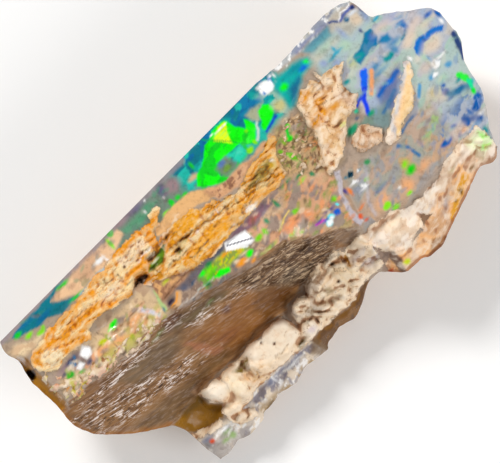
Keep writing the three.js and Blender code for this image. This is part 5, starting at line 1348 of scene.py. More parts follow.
# The terrace blocks and the large crumbly mass.
TERRACE_PAINT = [
    area((246, 226, 200), [
        (-7.9, -7), (-3.4, -7.1), (-2.9, -8.6), (-3.2, -9.4), (-6, -9.3), (-7.8, -8.4),
    ], 0.3),
    area((224, 184, 136), [(-8.8, -8.4), (-7.6, -8.6), (-6.9, -9.8), (-8.6, -9.8)], 0.3),
    stroke((150, 110, 62), [(-5.8, -9.15), (-5, -9.3), (-4.3, -9.15)], 0.04, 0.06),
    area((252, 232, 200), [(-10.5, -7.2), (-8.9, -7.9), (-8.9, -9.4), (-10.5, -9.4)], 0.3),
    *spots((252, 236, 214), (-11.7, -7.8, 1, 0.8), (-2.1, -9.6, 0.8, 0.6), soft=0.35),
    area((126, 104, 20), [
        (-9.5, -7.6), (-7.6, -7.5), (-7.8, -7.9), (-8.2, -8), (-8.5, -8.5), (-8.9, -8.1),
    ], 0.1),
    area((150, 118, 84), [(-8.8, -8), (-7.9, -7.95), (-8.2, -8.5), (-8.6, -8.5)], 0.1),
    # Painted shade: brownish bands along the blocks' edges, a greyer upper right corner on the large block,
    # and dark lines in the gaps between the blocks.
    stroke((224, 170, 110), [(-9.1, -8.4), (-8.9, -9.6), (-8.2, -9.8)], 0.2, 0.25, 0.8),
    stroke((196, 140, 84), [(-12.7, -7.9), (-12, -8.7), (-11.2, -8.9)], 0.1, 0.12, 0.8),
    stroke((206, 152, 100), [(-12.6, -9.9), (-11.6, -10.4), (-10.4, -10.6)], 0.14, 0.15, 0.8),
    area((222, 196, 172), [(-4.6, -7), (-3.1, -7), (-3.1, -7.7), (-3.8, -7.5)], 0.2, 0.8),
    stroke((80, 56, 24), [(-12.9, -7.2), (-12.5, -8.3), (-11.9, -8.9)], 0.05, 0.08, 0.8),
    stroke((110, 78, 36), [(-10.6, -7.1), (-10.5, -8), (-10.7, -8.5)], 0.04, 0.08, 0.7),
    spot((96, 76, 18), -3.4, -9.95, 0.5, 0.22, 15),
    # Painted shade in pits on the large block.
    *spots((60, 56, 66), (-5.2, -8.27, 0.09, 0.09), (-5.95, -7.5, 0.12, 0.08), (-5.9, -7.1, 0.1, 0.1)),
    spot((206, 188, 200), -2, -9.7, 0.4, 0.2, -20, soft=0.15),
    # Painted shadow at the left side of the mass.
    area((166, 140, 118), [(-2.7, -7.4), (-2, -7.2), (-2, -8.6), (-2.7, -8.6)], 0.2),
    mottle((164, 134, 108), MASS, 0.8, 0.36, 0.3),
    mottle((250, 230, 200), MASS, 0.7, 0.3, 0.2),
    # Painted shade in the valleys across the mass.
    area((142, 114, 84), [
        (-1.8, -8.1), (-0.4, -8.5), (0.8, -8.9), (1.8, -9.2), (1.7, -9.7), (0.4, -9.2), (-0.8, -9),
        (-1.6, -8.6),
    ], 0.25, 0.85),
    area((150, 128, 86), [(0.8, -7.9), (1.6, -8.3), (2, -8.8), (1, -8.5)], 0.2, 0.7),
    area((250, 222, 180), [(2.4, -7.2), (4, -7), (4, -9), (2.8, -9)], 0.3, 0.8),
    area((166, 118, 40), [(4, -6.6), (4.2, -8.1), (4.4, -7.6), (4.4, -6.8)], 0.06),
    area((190, 130, 40), [(3.9, -7), (4.3, -6.8), (4.4, -8.2), (4.1, -8.2)]),
    # Painted shade: near-black paint in the pits and slits of the terrace.
    *spots(
        BLACK_BROWN, (2.5, -8.3, 0.16, 0.12), (3.1, -6.85, 0.12, 0.14), (3.86, -7.4, 0.04, 0.35),
        (7.4, -8.3, 0.12, 0.09), (4.1, -6.75, 0.12, 0.12), (-1.6, -8.95, 0.2, 0.05),
        (-1.1, -9.4, 0.06, 0.4), (5, -8.85, 0.3, 0.05),
    ),
    mottle((225, 212, 214), [(4.6, -7.8), (6.8, -7.6), (7, -9.6), (5.4, -9.4)], 0.6, 0.4),
    area((172, 156, 146), [(5.8, -9), (6.8, -8.8), (7.2, -9.8), (6.8, -10)], 0.2, 0.8),
    area((150, 132, 108), [(2, -3.1), (4, -3.3), (4.2, -4.1), (2.2, -3.9)], 0.2),
]

# The ledge and the skirt.
LEDGE_PAINT = [
    *mottles(LEDGE, ((252, 236, 220), 1, 0.35), ((226, 196, 166), 0.8, 0.25), soft=0.2),
    stroke((192, 152, 118), [
        (12.4, -9.4), (13.6, -9.1), (15, -8.7), (16.2, -8), (18.2, -7.7),
    ], 0.14, 0.15, 0.85),
    stroke(WHITE, [(11.5, -8.9), (12, -9.5), (13.4, -9)], 0.1, 0.15, 0.6),
    # Painted shadow: a thin darker line along the ledge's lower edge.
    stroke((170, 130, 96), [
        (7, -9.3), (8, -10.25), (9, -10.45), (9.8, -10.05), (11.2, -10.1), (11.4, -9.2),
    ], 0.06, 0.08, 0.7),
    area((176, 150, 60), [(15.6, -8), (16.4, -8.1), (16, -8.3)], 0.1),
    area((248, 255, 212), [(18.4, -7.4), (20, -7.2), (20.6, -8.8), (18.6, -9.2)], 0.3),
    *spots((164, 248, 110), (19.5, -8.6, 0.5, 0.3), (20, -8, 0.3, 0.5), soft=0.25),
    mottle((206, 186, 150), [(18, -8.2), (20, -8), (20, -9.8), (18.4, -9.6)], 0.5, 0.18, 0.2),
    *mottles(SKIRT, ((246, 184, 120), 1.2, 0.35), ((222, 186, 154), 0.9, 0.25)),
    area((132, 104, 86), [(6.9, -9.7), (7.7, -9.8), (7.7, -10.8), (7.3, -11.8), (6.9, -11.6)], 0.12),
    area((214, 92, 16), [(5.9, -10.5), (6.6, -10.7), (6.5, -11.1), (6.2, -11)], 0.08),
    spot((206, 222, 20), 7.85, -11.2, 0.3, 0.25),
    area((160, 108, 60), [
        (9.2, -12.1), (9.8, -11.9), (10.6, -11.3), (11.6, -11.8), (12, -12.2), (11, -12.6), (9.4, -12.5),
    ]),
    stroke((226, 158, 26), [
        (13.4, -11.2), (14.2, -10.6), (14.8, -10.1), (15.6, -9.9), (16.4, -9.3),
    ], 0.28, 0.15),
    *spots((110, 76, 24), (14.4, -10.4, 0.14, 0.1), (15.4, -10, 0.2, 0.12), (17.3, -9.3, 0.3, 0.1)),
    area((190, 178, 176), [(13, -10.8), (14.2, -9.8), (14, -9.4), (12.6, -10.6)], 0.2, 0.8),
    # Painted shadow: a darker tan band below the ledge's lower edge.
    area((196, 154, 120), [
        (10.6, -10.2), (13.2, -9.9), (13.6, -10.4), (12.8, -11.4), (11.6, -11.6), (10.8, -11),
    ], 0.3, 0.65),
]

# The orange edges of the middle seam's tip.
SEAM_TIP_PAINT = [
    stroke((236, 150, 24), [(7.2, 4), (5.1, 3.75), (3, 3.4)], 0.22, 0.2, 0.75),
    stroke((240, 160, 30), [(5.4, 1.45), (3.7, 1.4), (2.1, 1.6)], 0.26, 0.25, 0.75),
]
GROUND_PAINT = (
    MATRIX_BODY_PAINT + LEFT_SEAM_PAINT + SEAM_MEETING_PAINT + MIDDLE_SEAM_PAINT +
    PORE_PAINT + TERRACE_PAINT + LEDGE_PAINT + SEAM_TIP_PAINT
)

# Where the wood's fibres show pale threads painted as highlights.
PAINTED_GLEAM_AREAS = [
    [
        (-21.4, -2.2), (-19, -2), (-12, -3.5), (-9.6, -4.8), (-10.4, -5.2), (-14, -4.9), (-18, -4.4),
        (-21, -3.7),
    ],
    [(-22, -0.8), (-14, -0.5), (-9.4, -0.4), (-7.6, -1), (-9.2, -1.2), (-12, -1), (-15, -1.4), (-22, -1.6)],
    [(-9.8, -1.7), (-7.4, -2.2), (-4.6, -2.8), (-3, -3.6), (-5, -3.3), (-7.6, -2.8), (-9.6, -2.3)],
]

WOOD_BASE = (152, 108, 62)

# The woody flank and its hackle zone.
WOOD_PAINT = [
    area((140, 98, 58), [(-22.5, 0.6), (-22.5, -2.4), (-15, -3), (-10, -1.2), (-10, 0.2)], 0.9, 0.8),
    area((116, 94, 66), [(-17, -1.2), (-12, -1), (-10, -2), (-12, -3.4), (-16, -2.8)], 0.6, 0.8),
    area((120, 87, 48), [(-20, -5), (-12, -5.3), (-8, -5.9), (-6, -7.3), (-16, -7.5)], 0.6),
    area((152, 98, 42), [(-10, -3), (-4, -3.4), (-2, -4.6), (-0.4, -6), (-1.4, -7), (-8, -6.4)], 0.7),
    # Painted shade: darker brown in the hollow at the right end of the flank, under the overhanging mass.
    area((122, 76, 24), [
        (-4.6, -5), (-3, -4.1), (-1.4, -4.6), (-0.2, -6.2), (-1.6, -6.9), (-4, -6.8),
    ], 0.5),
    area((108, 92, 60), [
        (-12, -0.9), (-8.4, -1), (-5.4, -1.6), (-4.8, -2.5), (-7.4, -2.4), (-10, -1.8),
    ], 0.35, 0.85),
    area((104, 62, 42), [(-11, -0.5), (-9.6, -0.4), (-9, -1.2), (-11, -1.5)], 0.3, 0.8),
    spot((98, 62, 58), -6, -3.4, 0.5, 0.25, -10, soft=0.2, strength=0.8),
    area((176, 112, 74), [
        (-10.8, -3), (-10.2, -3.3), (-9.2, -4.6), (-8.6, -5.5), (-9.4, -5.6), (-10.1, -4.6),
    ], 0.2, 0.8),
    spot((150, 88, 44), -7.6, -5, 1.2, 0.5, -15, soft=0.4, strength=0.6),
    stroke((164, 104, 34), [
        (-22.3, -0.4), (-22.2, -1.6), (-21.7, -3), (-20.9, -4), (-19.2, -5.5), (-18, -6.3), (-16.3, -7.4),
    ], 0.3, 0.25),
    area((116, 80, 44), HACKLE, 0.4),
    area((132, 114, 92), [(-1.6, -4.9), (0.4, -4.4), (2.4, -5.6), (1, -6.2), (-0.6, -5.8)], 0.4, 0.7),
    area((118, 84, 48), [
        (-9.4, -0.9), (-3, -1.7), (2, -2.8), (2, -3.2), (-4, -2.2), (-9, -1.5),
    ], 0.25, 0.8),
    area((138, 106, 76), [(4.7, -5), (5, -6.6), (6.7, -6.6), (6.5, -5.6)], 0.2),
    *spots((96, 138, 48), (-6.6, -1.9, 0.4, 0.12), (-11.8, -0.9, 0.6, 0.1), soft=0.15, strength=0.7),
    # Painted light: a paler band along the flank's foot, which lightens the shade that the blocks throw
    # there.
    stroke((206, 156, 104), [
        (-12.8, -6.75), (-9, -6.8), (-3.2, -6.8), (-2.4, -6.9), (-0.4, -6.6),
    ], 0.35, 0.35, 0.8),
]


# ------------------------------------------------------------------ the colour at each point

BORDER_WAVE = 0.8  # mm between the wanderings of a patch's border
FLECK_TURN = 20  # degrees from the stone's length that flecks lie along
FLECK_LENGTH, FLECK_WIDTH = 1.5, 0.8  # as shares of the patch's wave
FLECK_BORDER = (-0.09, 0.15)
OPAL_WANDER, GROUND_WANDER = 0.08, 0.14  # mm that the borders of patches wander


def linear(colour):
    """Linear light from 0-255 sRGB."""
    c = np.array(colour, float) / 255
    return np.where(c <= 0.04045, c / 12.92, ((c + 0.055) / 1.055) ** 2.4)


def painted(base, patches, x, y, wander):
    """The linear colour at each point; the patches' borders wander by about so many mm."""
    wx = x + wander * fractal(x / BORDER_WAVE, y / BORDER_WAVE, octaves=4, seed=81)
    wy = y + wander * fractal(x / BORDER_WAVE, y / BORDER_WAVE, octaves=4, seed=91)
    along, across = turned(wx, wy, FLECK_TURN)
    colour = np.tile(linear(base), (len(x), 1))
    for index, patch in enumerate(patches):
        cover = smoothstep(-patch.soft, patch.soft, patch.depth(wx, wy)) * patch.strength
        if patch.wave:
            u, v = along / (FLECK_LENGTH * patch.wave), across / (FLECK_WIDTH * patch.wave)
            flecks = fractal(u, v, octaves=3, seed=300 + 7 * index)
            low, high = FLECK_BORDER
            cover = cover * smoothstep(patch.bias + low, patch.bias + high, flecks)
        colour = colour * (1 - cover[:, None]) + linear(patch.colour) * cover[:, None]
    return colour


# ------------------------------------------------------------------ glints, crevices and the walls' colours

GLINTS = [  # flat mirror-like facets, by their corners
    [(-2.45, 0.15), (-2.15, 0.75), (-1.2, 0.55), (-0.25, 0.35), (-0.2, -0.7), (-0.7, -0.8), (-1.6, -0.15)],
    [(-17.7, 2.5), (-17, 2.95), (-16.6, 2.4), (-16.9, 1.9), (-17.5, 1.85)],
    [(-18.7, 1.9), (-18.1, 2.1), (-17.9, 1.7), (-18.5, 1.55)],
    [(0.9, 1.35), (1.1, 1.65), (1.8, 1.5), (2.2, 1.25), (1.6, 1.2)],
    [(9.1, 8.3), (9.2, 7.5), (9.7, 7.3), (10.1, 7.5), (10.2, 8.1)],
    [(21.2, -0.9), (21.4, -0.55), (21.7, -0.8), (21.4, -1.05)],
    [(20.3, -1.4), (20.6, -1.2), (20.8, -1.45)],
    [(-11.2, 7), (-11.1, 7.3), (-10.7, 7.2), (-10.8, 6.95)],
    [(9.1, -3.1), (9.3, -3), (9.6, -3.3)],
    [(9.5, -3.9), (9.9, -3.9), (9.8, -4.15)],
    [(5.1, -4.3), (5.3, -3.95), (5.8, -4.1), (5.6, -4.35)],
    [(-9.4, 3.5), (-9.2, 3.65), (-9.1, 3.4)],
]
GLINT_SLOPE = -0.364  # towards the straight edge, so that the key light shows in a facet from straight above
GLINT_CRACK = [(-2.5, 0.62), (-0.2, -0.55)]  # a dark line across the largest facet
CRACK_HALF_WIDTH = 0.07
GLINT_BEGINS, CRACK_BEGINS, PAINTED_GLEAM_BEGINS = (-0.12, 0.06), (-0.06, 0.06), (-0.5, 0.3)
CREVICE_REACH = 3  # cells each way over which a point is compared with its surroundings

OPAL_BAND = {"back": 5.5, "front": 1.2}  # how far down the walls the opal reaches, in mm
BAND_WAVES = [(2.2, 4, 101), (0.7, 1.2, 102)]  # how its lower border wanders: (mm, wave, seed)
BAND_BORDER = 0.8  # how steeply the matrix takes over below it
WALL_LAYERING = 1.8  # patches on the walls are this much longer than high
CLOUD_FROM = 0.25  # where in the noise a patch begins
# Patches on the walls are (colour, size in mm, seed).
WALL_OPAL_BASE, WALL_GROUND_BASE = (150, 150, 152), (208, 176, 142)
WALL_OPAL = [
    ((196, 178, 160), 4.5, 111), (STEEL, 3.6, 112), ((40, 140, 146), 4.2, 113), ((60, 110, 168), 3, 114),
    ((70, 176, 120), 2.4, 115), (LAVENDER, 2.6, 116),
]
WALL_GROUND = [
    ((186, 148, 112), 6, 121), ((234, 212, 182), 4.5, 122), ((206, 156, 100), 5, 123),
    ((150, 114, 84), 3, 124),
]


def with_glints(x, y, z):
    """The heights with the glint facets cut flat, and each point's share of a facet."""
    facet = np.zeros(x.shape)
    for outline in GLINTS:
        depth = depth_inside(outline, x, y)
        share = smoothstep(*GLINT_BEGINS, depth)
        middle_y = np.mean([corner_y for _, corner_y in outline])
        level = z[depth > 0].mean() if (depth > 0).any() else 0
        z = z * (1 - share) + (level + GLINT_SLOPE * (y - middle_y)) * share
        facet = np.maximum(facet, share)
    return z, facet


def crevices(z, rows, columns):
    """How far each point of the top lies below its surroundings, in mm, for painted shade and highlights."""
    side = 2 * CREVICE_REACH + 1
    padded = np.pad(z.reshape(rows, columns), CREVICE_REACH, mode="edge")
    around = np.zeros((rows, columns))
    for dx in range(side):
        for dy in range(side):
            around += padded[dy:dy + rows, dx:dx + columns]
    return (around / side ** 2).ravel() - z


def wall_zones(points):
    """Signed depth of the matrix on the walls, which begins below a band of opal."""
    x, y, z = points.T
    back = smoothstep(-4, 4, y)
    band = OPAL_BAND["front"] + (OPAL_BAND["back"] - OPAL_BAND["front"]) * back
    wander = sum(far * noise(x / wave, y / wave, z / wave, seed=seed) for far, wave, seed in BAND_WAVES)
    return np.clip((FACE_HEIGHT - band + wander - z) * BAND_BORDER, -1, 1)


def clouded(points, base, patches, soft, strength):
    """A base colour with soft patches of others."""
    x, y, z = points.T
    colour = np.tile(linear(base), (len(x), 1))
    for tint, wave, seed in patches:
        patch = fractal(x / wave, y / wave, z / wave * WALL_LAYERING, octaves=3, seed=seed)
        cover = (smoothstep(CLOUD_FROM - soft, CLOUD_FROM + soft, patch) * strength)[:, None]
        colour = colour * (1 - cover) + linear(tint) * cover
    return colour


# ------------------------------------------------------------------ the mesh

PLAN_CENTRE = (1.125, -1.875)  # where the row frame's origin lies in the stone's plan


def top_faces(number):
    """Faces with four corners that join neighbouring points of the top."""
    corners = [number[1:, :-1], number[1:, 1:], number[:-1, 1:], number[:-1, :-1]]
    return np.stack(corners, axis=-1).reshape(-1, 4).tolist()


def rim_faces(ring, below):
    """Triangles between the rim and the first level of the walls, which has half as many points."""
    faces = []
    for k in range(len(below)):
        a0, a1, a2 = ring[2 * k], ring[2 * k + 1], ring[(2 * k + 2) % len(ring)]
        b0, b1 = below[k], below[(k + 1) % len(below)]
        faces += [(a0, a1, b0), (a1, b1, b0), (a1, a2, b1)]
    return faces


def wall_faces(wall):
    right = np.roll(wall, -1, axis=1)
    corners = [wall[:-1], right[:-1], right[1:], wall[1:]]
    return np.stack(corners, axis=-1).reshape(-1, 4).tolist()


def stone_points():
    """The stone's points and faces, each top point's share of a glint, the rim, and the shape of the grid."""
    plan = plan_grid()
    rows, columns = plan.shape[:2]
    x, y = plan[..., 0].ravel(), plan[..., 1].ravel()
    z, facet = with_glints(x, y, top_height(x, y))
    number = np.arange(rows * columns).reshape(rows, columns)
    ring = np.concatenate([number[0, :-1], number[:-1, -1], number[-1, :0:-1], number[:0:-1, 0]])
    ring_plan = np.stack([x[ring], y[ring]], axis=1)
    base = base_ring(ring_plan)[::2]
    shares = [row / WALL_ROWS for row in range(1, WALL_ROWS + 1)]
    levels = [wall_row(ring_plan[::2], z[ring][::2], base, share) for share in shares]
    points = np.concatenate([np.stack([x, y, z], axis=1)] + levels)
    wall = rows * columns + np.arange(WALL_ROWS * len(base)).reshape(WALL_ROWS, len(base))
    faces = top_faces(number) + rim_faces(ring, wall[0]) + wall_faces(wall) + [wall[-1].tolist()]
    return points, faces, facet, ring, (rows, columns)


def point_values(points, facet, rows, columns):
    """What the material reads at each point: on the top first, then on the walls."""
    x, y, z = points[:rows * columns].T
    side = points[rows * columns:]
    matrix, wood, hackle = zone_depths(x, y)
    wood = np.where(matrix > 0, np.minimum(wood, -matrix), wood)
    crack = smoothstep(*CRACK_BEGINS, depth_in_stroke(GLINT_CRACK, CRACK_HALF_WIDTH, x, y))
    painted_gleam = smoothstep(*PAINTED_GLEAM_BEGINS, deepest(PAINTED_GLEAM_AREAS, x, y))
    none = np.zeros(len(side))
    side_opal = clouded(side, WALL_OPAL_BASE, WALL_OPAL, 0.18, 0.7)
    side_ground = clouded(side, WALL_GROUND_BASE, WALL_GROUND, 0.3, 0.6)
    values = {
        "matrix": (np.clip(matrix, -1, 1), wall_zones(side)),
        "wood": (np.clip(wood, -1, 1), none - 1),
        "hackle": (smoothstep(-0.3, 0.5, hackle), none),
        "fibrous": (fibrous_share(x, y), none),
        "facet": (facet, none),
        "facet_crack": (crack, none),
        "calm": (calm_share(x, y), none),
        "painted_gleam": (painted_gleam, none),
        "crevice": (crevices(z, rows, columns), none),
        "opal_tint": (painted(OPAL_BASE, OPAL_PAINT, x, y, OPAL_WANDER), side_opal),
        "ground_tint": (painted(GROUND_BASE, GROUND_PAINT, x, y, GROUND_WANDER), side_ground),
        "wood_tint": (painted(WOOD_BASE, WOOD_PAINT, x, y, GROUND_WANDER), side_ground),
    }
    return {name: np.concatenate(top_and_side) for name, top_and_side in values.items()}


def add_attribute(mesh, name, values):
    """A value for each point: a number, or a colour without its alpha."""
    if values.ndim == 1:
        attribute = mesh.attributes.new(name, "FLOAT", "POINT")
        attribute.data.foreach_set("value", values.astype(np.float32))
    else:
        colours = np.concatenate([values, np.ones((len(values), 1))], axis=1)
        attribute = mesh.attributes.new(name, "FLOAT_COLOR", "POINT")
        attribute.data.foreach_set("color", colours.astype(np.float32).ravel())


def smooth_faces(mesh, ring):
    """Smooth shading, but for the flat underside and the sharp rim."""
    smooth = np.ones(len(mesh.polygons), bool)
    smooth[-1] = False
    mesh.polygons.foreach_set("use_smooth", smooth)
    on_rim = np.zeros(len(mesh.vertices), bool)
    on_rim[ring] = True
    ends = np.empty(2 * len(mesh.edges), np.int32)
    mesh.edges.foreach_get("vertices", ends)
    sharp = on_rim[ends].reshape(-1, 2).all(axis=1)
    mesh.attributes.new("sharp_edge", "BOOLEAN", "EDGE").data.foreach_set("value", sharp)


def build_stone():
    points, faces, facet, ring, (rows, columns) = stone_points()
    mesh = bpy.data.meshes.new(NODE)
    moved = (points - np.array([*PLAN_CENTRE, 0])) * MM
    mesh.from_pydata(moved.tolist(), [], faces)
    smooth_faces(mesh, ring)
    for name, values in point_values(points, facet, rows, columns).items():
        add_attribute(mesh, name, values)
    mesh.validate()
    stone = bpy.data.objects.new("rough_opal_stone", mesh)
    bpy.context.scene.collection.objects.link(stone)
    return stone


# ------------------------------------------------------------------ shader nodes


class Nodes:
    """Short ways to add shader nodes. Inputs given as sockets are linked, others are set as values."""

    def __init__(self, material):
        material.use_nodes = True
        self.tree = material.node_tree
        self.tree.nodes.clear()

    def add(self, kind, inputs, **settings):
        node = self.tree.nodes.new(kind)
        for key, value in settings.items():
            setattr(node, key, value)
        for key, value in inputs.items():
            socket = node.inputs[key]
            if isinstance(value, bpy.types.NodeSocket):
                self.tree.links.new(value, socket)
            else:
                socket.default_value = value
        return node

    def attribute(self, name, output="Fac"):
        return self.add("ShaderNodeAttribute", {}, attribute_name=name).outputs[output]

    def math(self, operation, a, b=0.0):
        return self.add("ShaderNodeMath", {0: a, 1: b}, operation=operation).outputs[0]

    def plus(self, a, b):
        return self.math("ADD", a, b)

    def minus(self, a, b):
        return self.math("SUBTRACT", a, b)

    def times(self, a, b):
        return self.math("MULTIPLY", a, b)

    def ramp(self, value, low, high, to_low=0.0, to_high=1.0):
        inputs = {"Value": value, "From Min": low, "From Max": high, "To Min": to_low, "To Max": to_high}
        return self.add("ShaderNodeMapRange", inputs, interpolation_type="SMOOTHSTEP").outputs[0]

    def blend(self, factor, a, b):
        """A number between a and b."""
        return self.add("ShaderNodeMix", {0: factor, 2: a, 3: b}, data_type="FLOAT").outputs[0]

    def mix(self, factor, a, b, blend="MIX"):
        """A colour between a and b, or a darkened by b for MULTIPLY."""
        settings = {"data_type": "RGBA", "blend_type": blend}
        return self.add("ShaderNodeMix", {0: factor, 6: a, 7: b}, **settings).outputs[2]

    def layered(self, colour, *layers):
        """A colour with others laid over it; a layer is (share, colour), with "MULTIPLY" if it darkens."""
        for share, tint, *blend in layers:
            colour = self.mix(share, colour, tint, *blend)
        return colour

    def stretched(self, place, turn, along, across):
        """A place drawn out along a direction, which is that many degrees from the stone's length."""
        inputs = {"Vector": place, "Rotation": (0, 0, math.radians(turn)), "Scale": (along, across, 1)}
        return self.add("ShaderNodeMapping", inputs, vector_type="TEXTURE").outputs[0]

    def noise(self, place, wave, detail=3.0, roughness=0.55, distortion=0.0):
        """Noise from 0 to 1 whose largest features are about that many mm wide."""
        inputs = {"Vector": place, "Scale": 1 / wave, "Detail": detail, "Roughness": roughness}
        inputs["Distortion"] = distortion
        return self.add("ShaderNodeTexNoise", inputs).outputs[0]


def rgb(*colour):
    return (*linear(colour), 1.0)


# ------------------------------------------------------------------ the stone's material

Look = namedtuple("Look", "colour roughness height")
GRAIN_TURN = math.degrees(math.atan(GRAIN_SLOPE))
FIBRE_TURN = -7  # degrees from the stone's length that the seams' fibres lie along
BUMP_DEPTH = 0.13 * MM


def matrix_cracks(n, place, fibre_place, fibrous):
    """Thin wandering lines."""
    wandering = n.noise(place, 1.2, 4, 0.6, 0.5)
    lengthwise = n.noise(fibre_place, 0.7, 4, 0.6, 0.8)
    off_line = n.math("ABSOLUTE", n.minus(n.blend(fibrous, wandering, lengthwise), 0.5))
    return n.ramp(off_line, 0.003, 0.02, 1.0, 0.0)


def matrix_look(n, place, crevice, hollow):
    """Crumbly matrix, drawn out into fibres in the two seams."""
    fibrous = n.attribute("fibrous")
    lively = n.minus(1.0, n.times(n.attribute("calm"), 0.7))
    # Painted highlight: how far a point stands above its surroundings.
    crest_highlight = n.ramp(crevice, -0.01, -0.12)
    fibre_place = n.stretched(place, FIBRE_TURN, 2.4, 0.6)
    crumb = n.blend(fibrous, n.noise(place, 0.9, 5, 0.65), n.noise(fibre_place, 0.7, 7, 0.75, 0.6))
    grit = n.noise(place, 0.16, 4, 0.75)
    strand = n.noise(n.stretched(place, FIBRE_TURN + 1, 0.6, 0.2), 1, 6, 0.8, 0.9)
    crack = n.times(matrix_cracks(n, place, fibre_place, fibrous), n.ramp(crumb, 0.54, 0.42))
    pale = n.mix(fibrous, rgb(252, 236, 214), rgb(252, 214, 140))
    # shade and light are the colours of the painted shade in hollows and the painted highlight on crests.
    shade = n.mix(fibrous, rgb(170, 120, 80), rgb(168, 100, 40))
    light = n.mix(fibrous, rgb(255, 240, 220), rgb(255, 226, 172))
    colour = n.layered(
        n.attribute("ground_tint", "Color"),
        (n.ramp(crumb, 0.3, 0.5, 0.3, 0.0), rgb(224, 176, 120), "MULTIPLY"),
        (n.ramp(crumb, 0.5, 0.64, 0.0, 0.35), pale),
        (n.times(n.ramp(strand, 0.52, 0.6, 0.0, 0.7), fibrous), rgb(238, 158, 10)),
        (n.times(n.ramp(strand, 0.42, 0.34, 0.0, 0.6), fibrous), rgb(255, 238, 200)),
        (n.times(n.ramp(strand, 0.62, 0.7, 0.0, 0.75), fibrous), rgb(120, 66, 16)),
        (n.times(n.ramp(grit, 0.36, 0.46, 0.25, 0.0), lively), rgb(208, 160, 112), "MULTIPLY"),
        # Painted shade in hollows, then a painted highlight on crests.
        (n.times(hollow, n.blend(fibrous, 0.7, 0.55)), shade, "MULTIPLY"),
        (n.times(crest_highlight, 0.35), light),
        (n.times(n.times(crack, lively), 0.6), rgb(118, 72, 30)),
    )
    height = n.plus(n.blend(fibrous, crumb, strand), n.times(grit, n.times(lively, 0.7)))
    return Look(colour, 0.9, height)


def wood_look(n, place, hollow):
    """Woody flank: pale threads painted as highlights in places, and short fibres in the hackle zone."""
    hackle, painted_gleam = n.attribute("hackle"), n.attribute("painted_gleam")
    long_streak = n.noise(n.stretched(place, GRAIN_TURN, 3, 0.4), 1, 5, 0.6, 0.4)
    fine_streak = n.noise(n.stretched(place, GRAIN_TURN, 0.9, 0.15), 1, 4, 0.65, 0.9)
    tangled = n.noise(n.stretched(place, GRAIN_TURN - 4, 0.8, 0.17), 1, 5, 0.65, 1.3)
    cluster = n.ramp(n.noise(n.stretched(place, GRAIN_TURN, 2.5, 0.9), 1, 3), 0.38, 0.54, 0.2, 1.0)
    shown = n.times(cluster, n.plus(n.times(painted_gleam, 0.9), 0.1))
    colour = n.layered(
        n.attribute("wood_tint", "Color"),
        (n.ramp(long_streak, 0.34, 0.56, 0.5, 0.0), rgb(150, 116, 92), "MULTIPLY"),
        (n.ramp(long_streak, 0.52, 0.7, 0.0, 0.25), rgb(178, 132, 84)),
        (n.times(n.ramp(fine_streak, 0.47, 0.4, 0.0, 0.95), shown), rgb(62, 38, 24)),
        # Painted highlight: pale threads where the fibres gleam.
        (n.times(n.ramp(fine_streak, 0.52, 0.59), shown), rgb(244, 228, 218)),
        (n.times(n.ramp(tangled, 0.53, 0.6, 0.0, 0.95), hackle), rgb(208, 180, 146)),
        (n.times(n.ramp(tangled, 0.49, 0.41, 0.0, 0.95), hackle), rgb(64, 40, 20)),
        # Painted shade in hollows.
        (n.times(hollow, 0.2), rgb(130, 92, 62), "MULTIPLY"),
    )
    height = n.plus(n.times(fine_streak, shown), n.times(tangled, hackle))
    return Look(colour, n.ramp(fine_streak, 0.3, 0.7, 0.6, 0.36), height)


def opal_look(n, place, facet, near_matrix):
    """Opal: the painted play of colour, a little cloudy and brushed, with facets painted white as a glint."""
    cloud = n.noise(place, 0.9, 5, 0.65, 0.4)
    cracked = n.times(n.attribute("facet_crack"), facet)
    colour = n.layered(
        n.attribute("opal_tint", "Color"),
        (n.ramp(cloud, 0.5, 0.3, 0.0, 0.5), rgb(196, 190, 188), "MULTIPLY"),
        (n.ramp(n.noise(place, 0.35, 5, 0.7), 0.48, 0.32, 0.0, 0.3), rgb(170, 160, 156), "MULTIPLY"),
        # Painted glint: the mirror-like facets are painted white as well.
        (n.times(facet, 0.85), rgb(250, 250, 250)),
        (cracked, rgb(40, 40, 76)),
    )
    roughness = n.ramp(n.noise(place, 0.9, 4, 0.6), 0.35, 0.65, 0.12, 0.3)
    roughness = n.blend(near_matrix, roughness, 0.7)
    roughness = n.blend(n.minus(facet, cracked), roughness, 0.05)
    roughness = n.blend(cracked, roughness, 0.9)
    return Look(colour, roughness, n.times(cloud, 0.3))


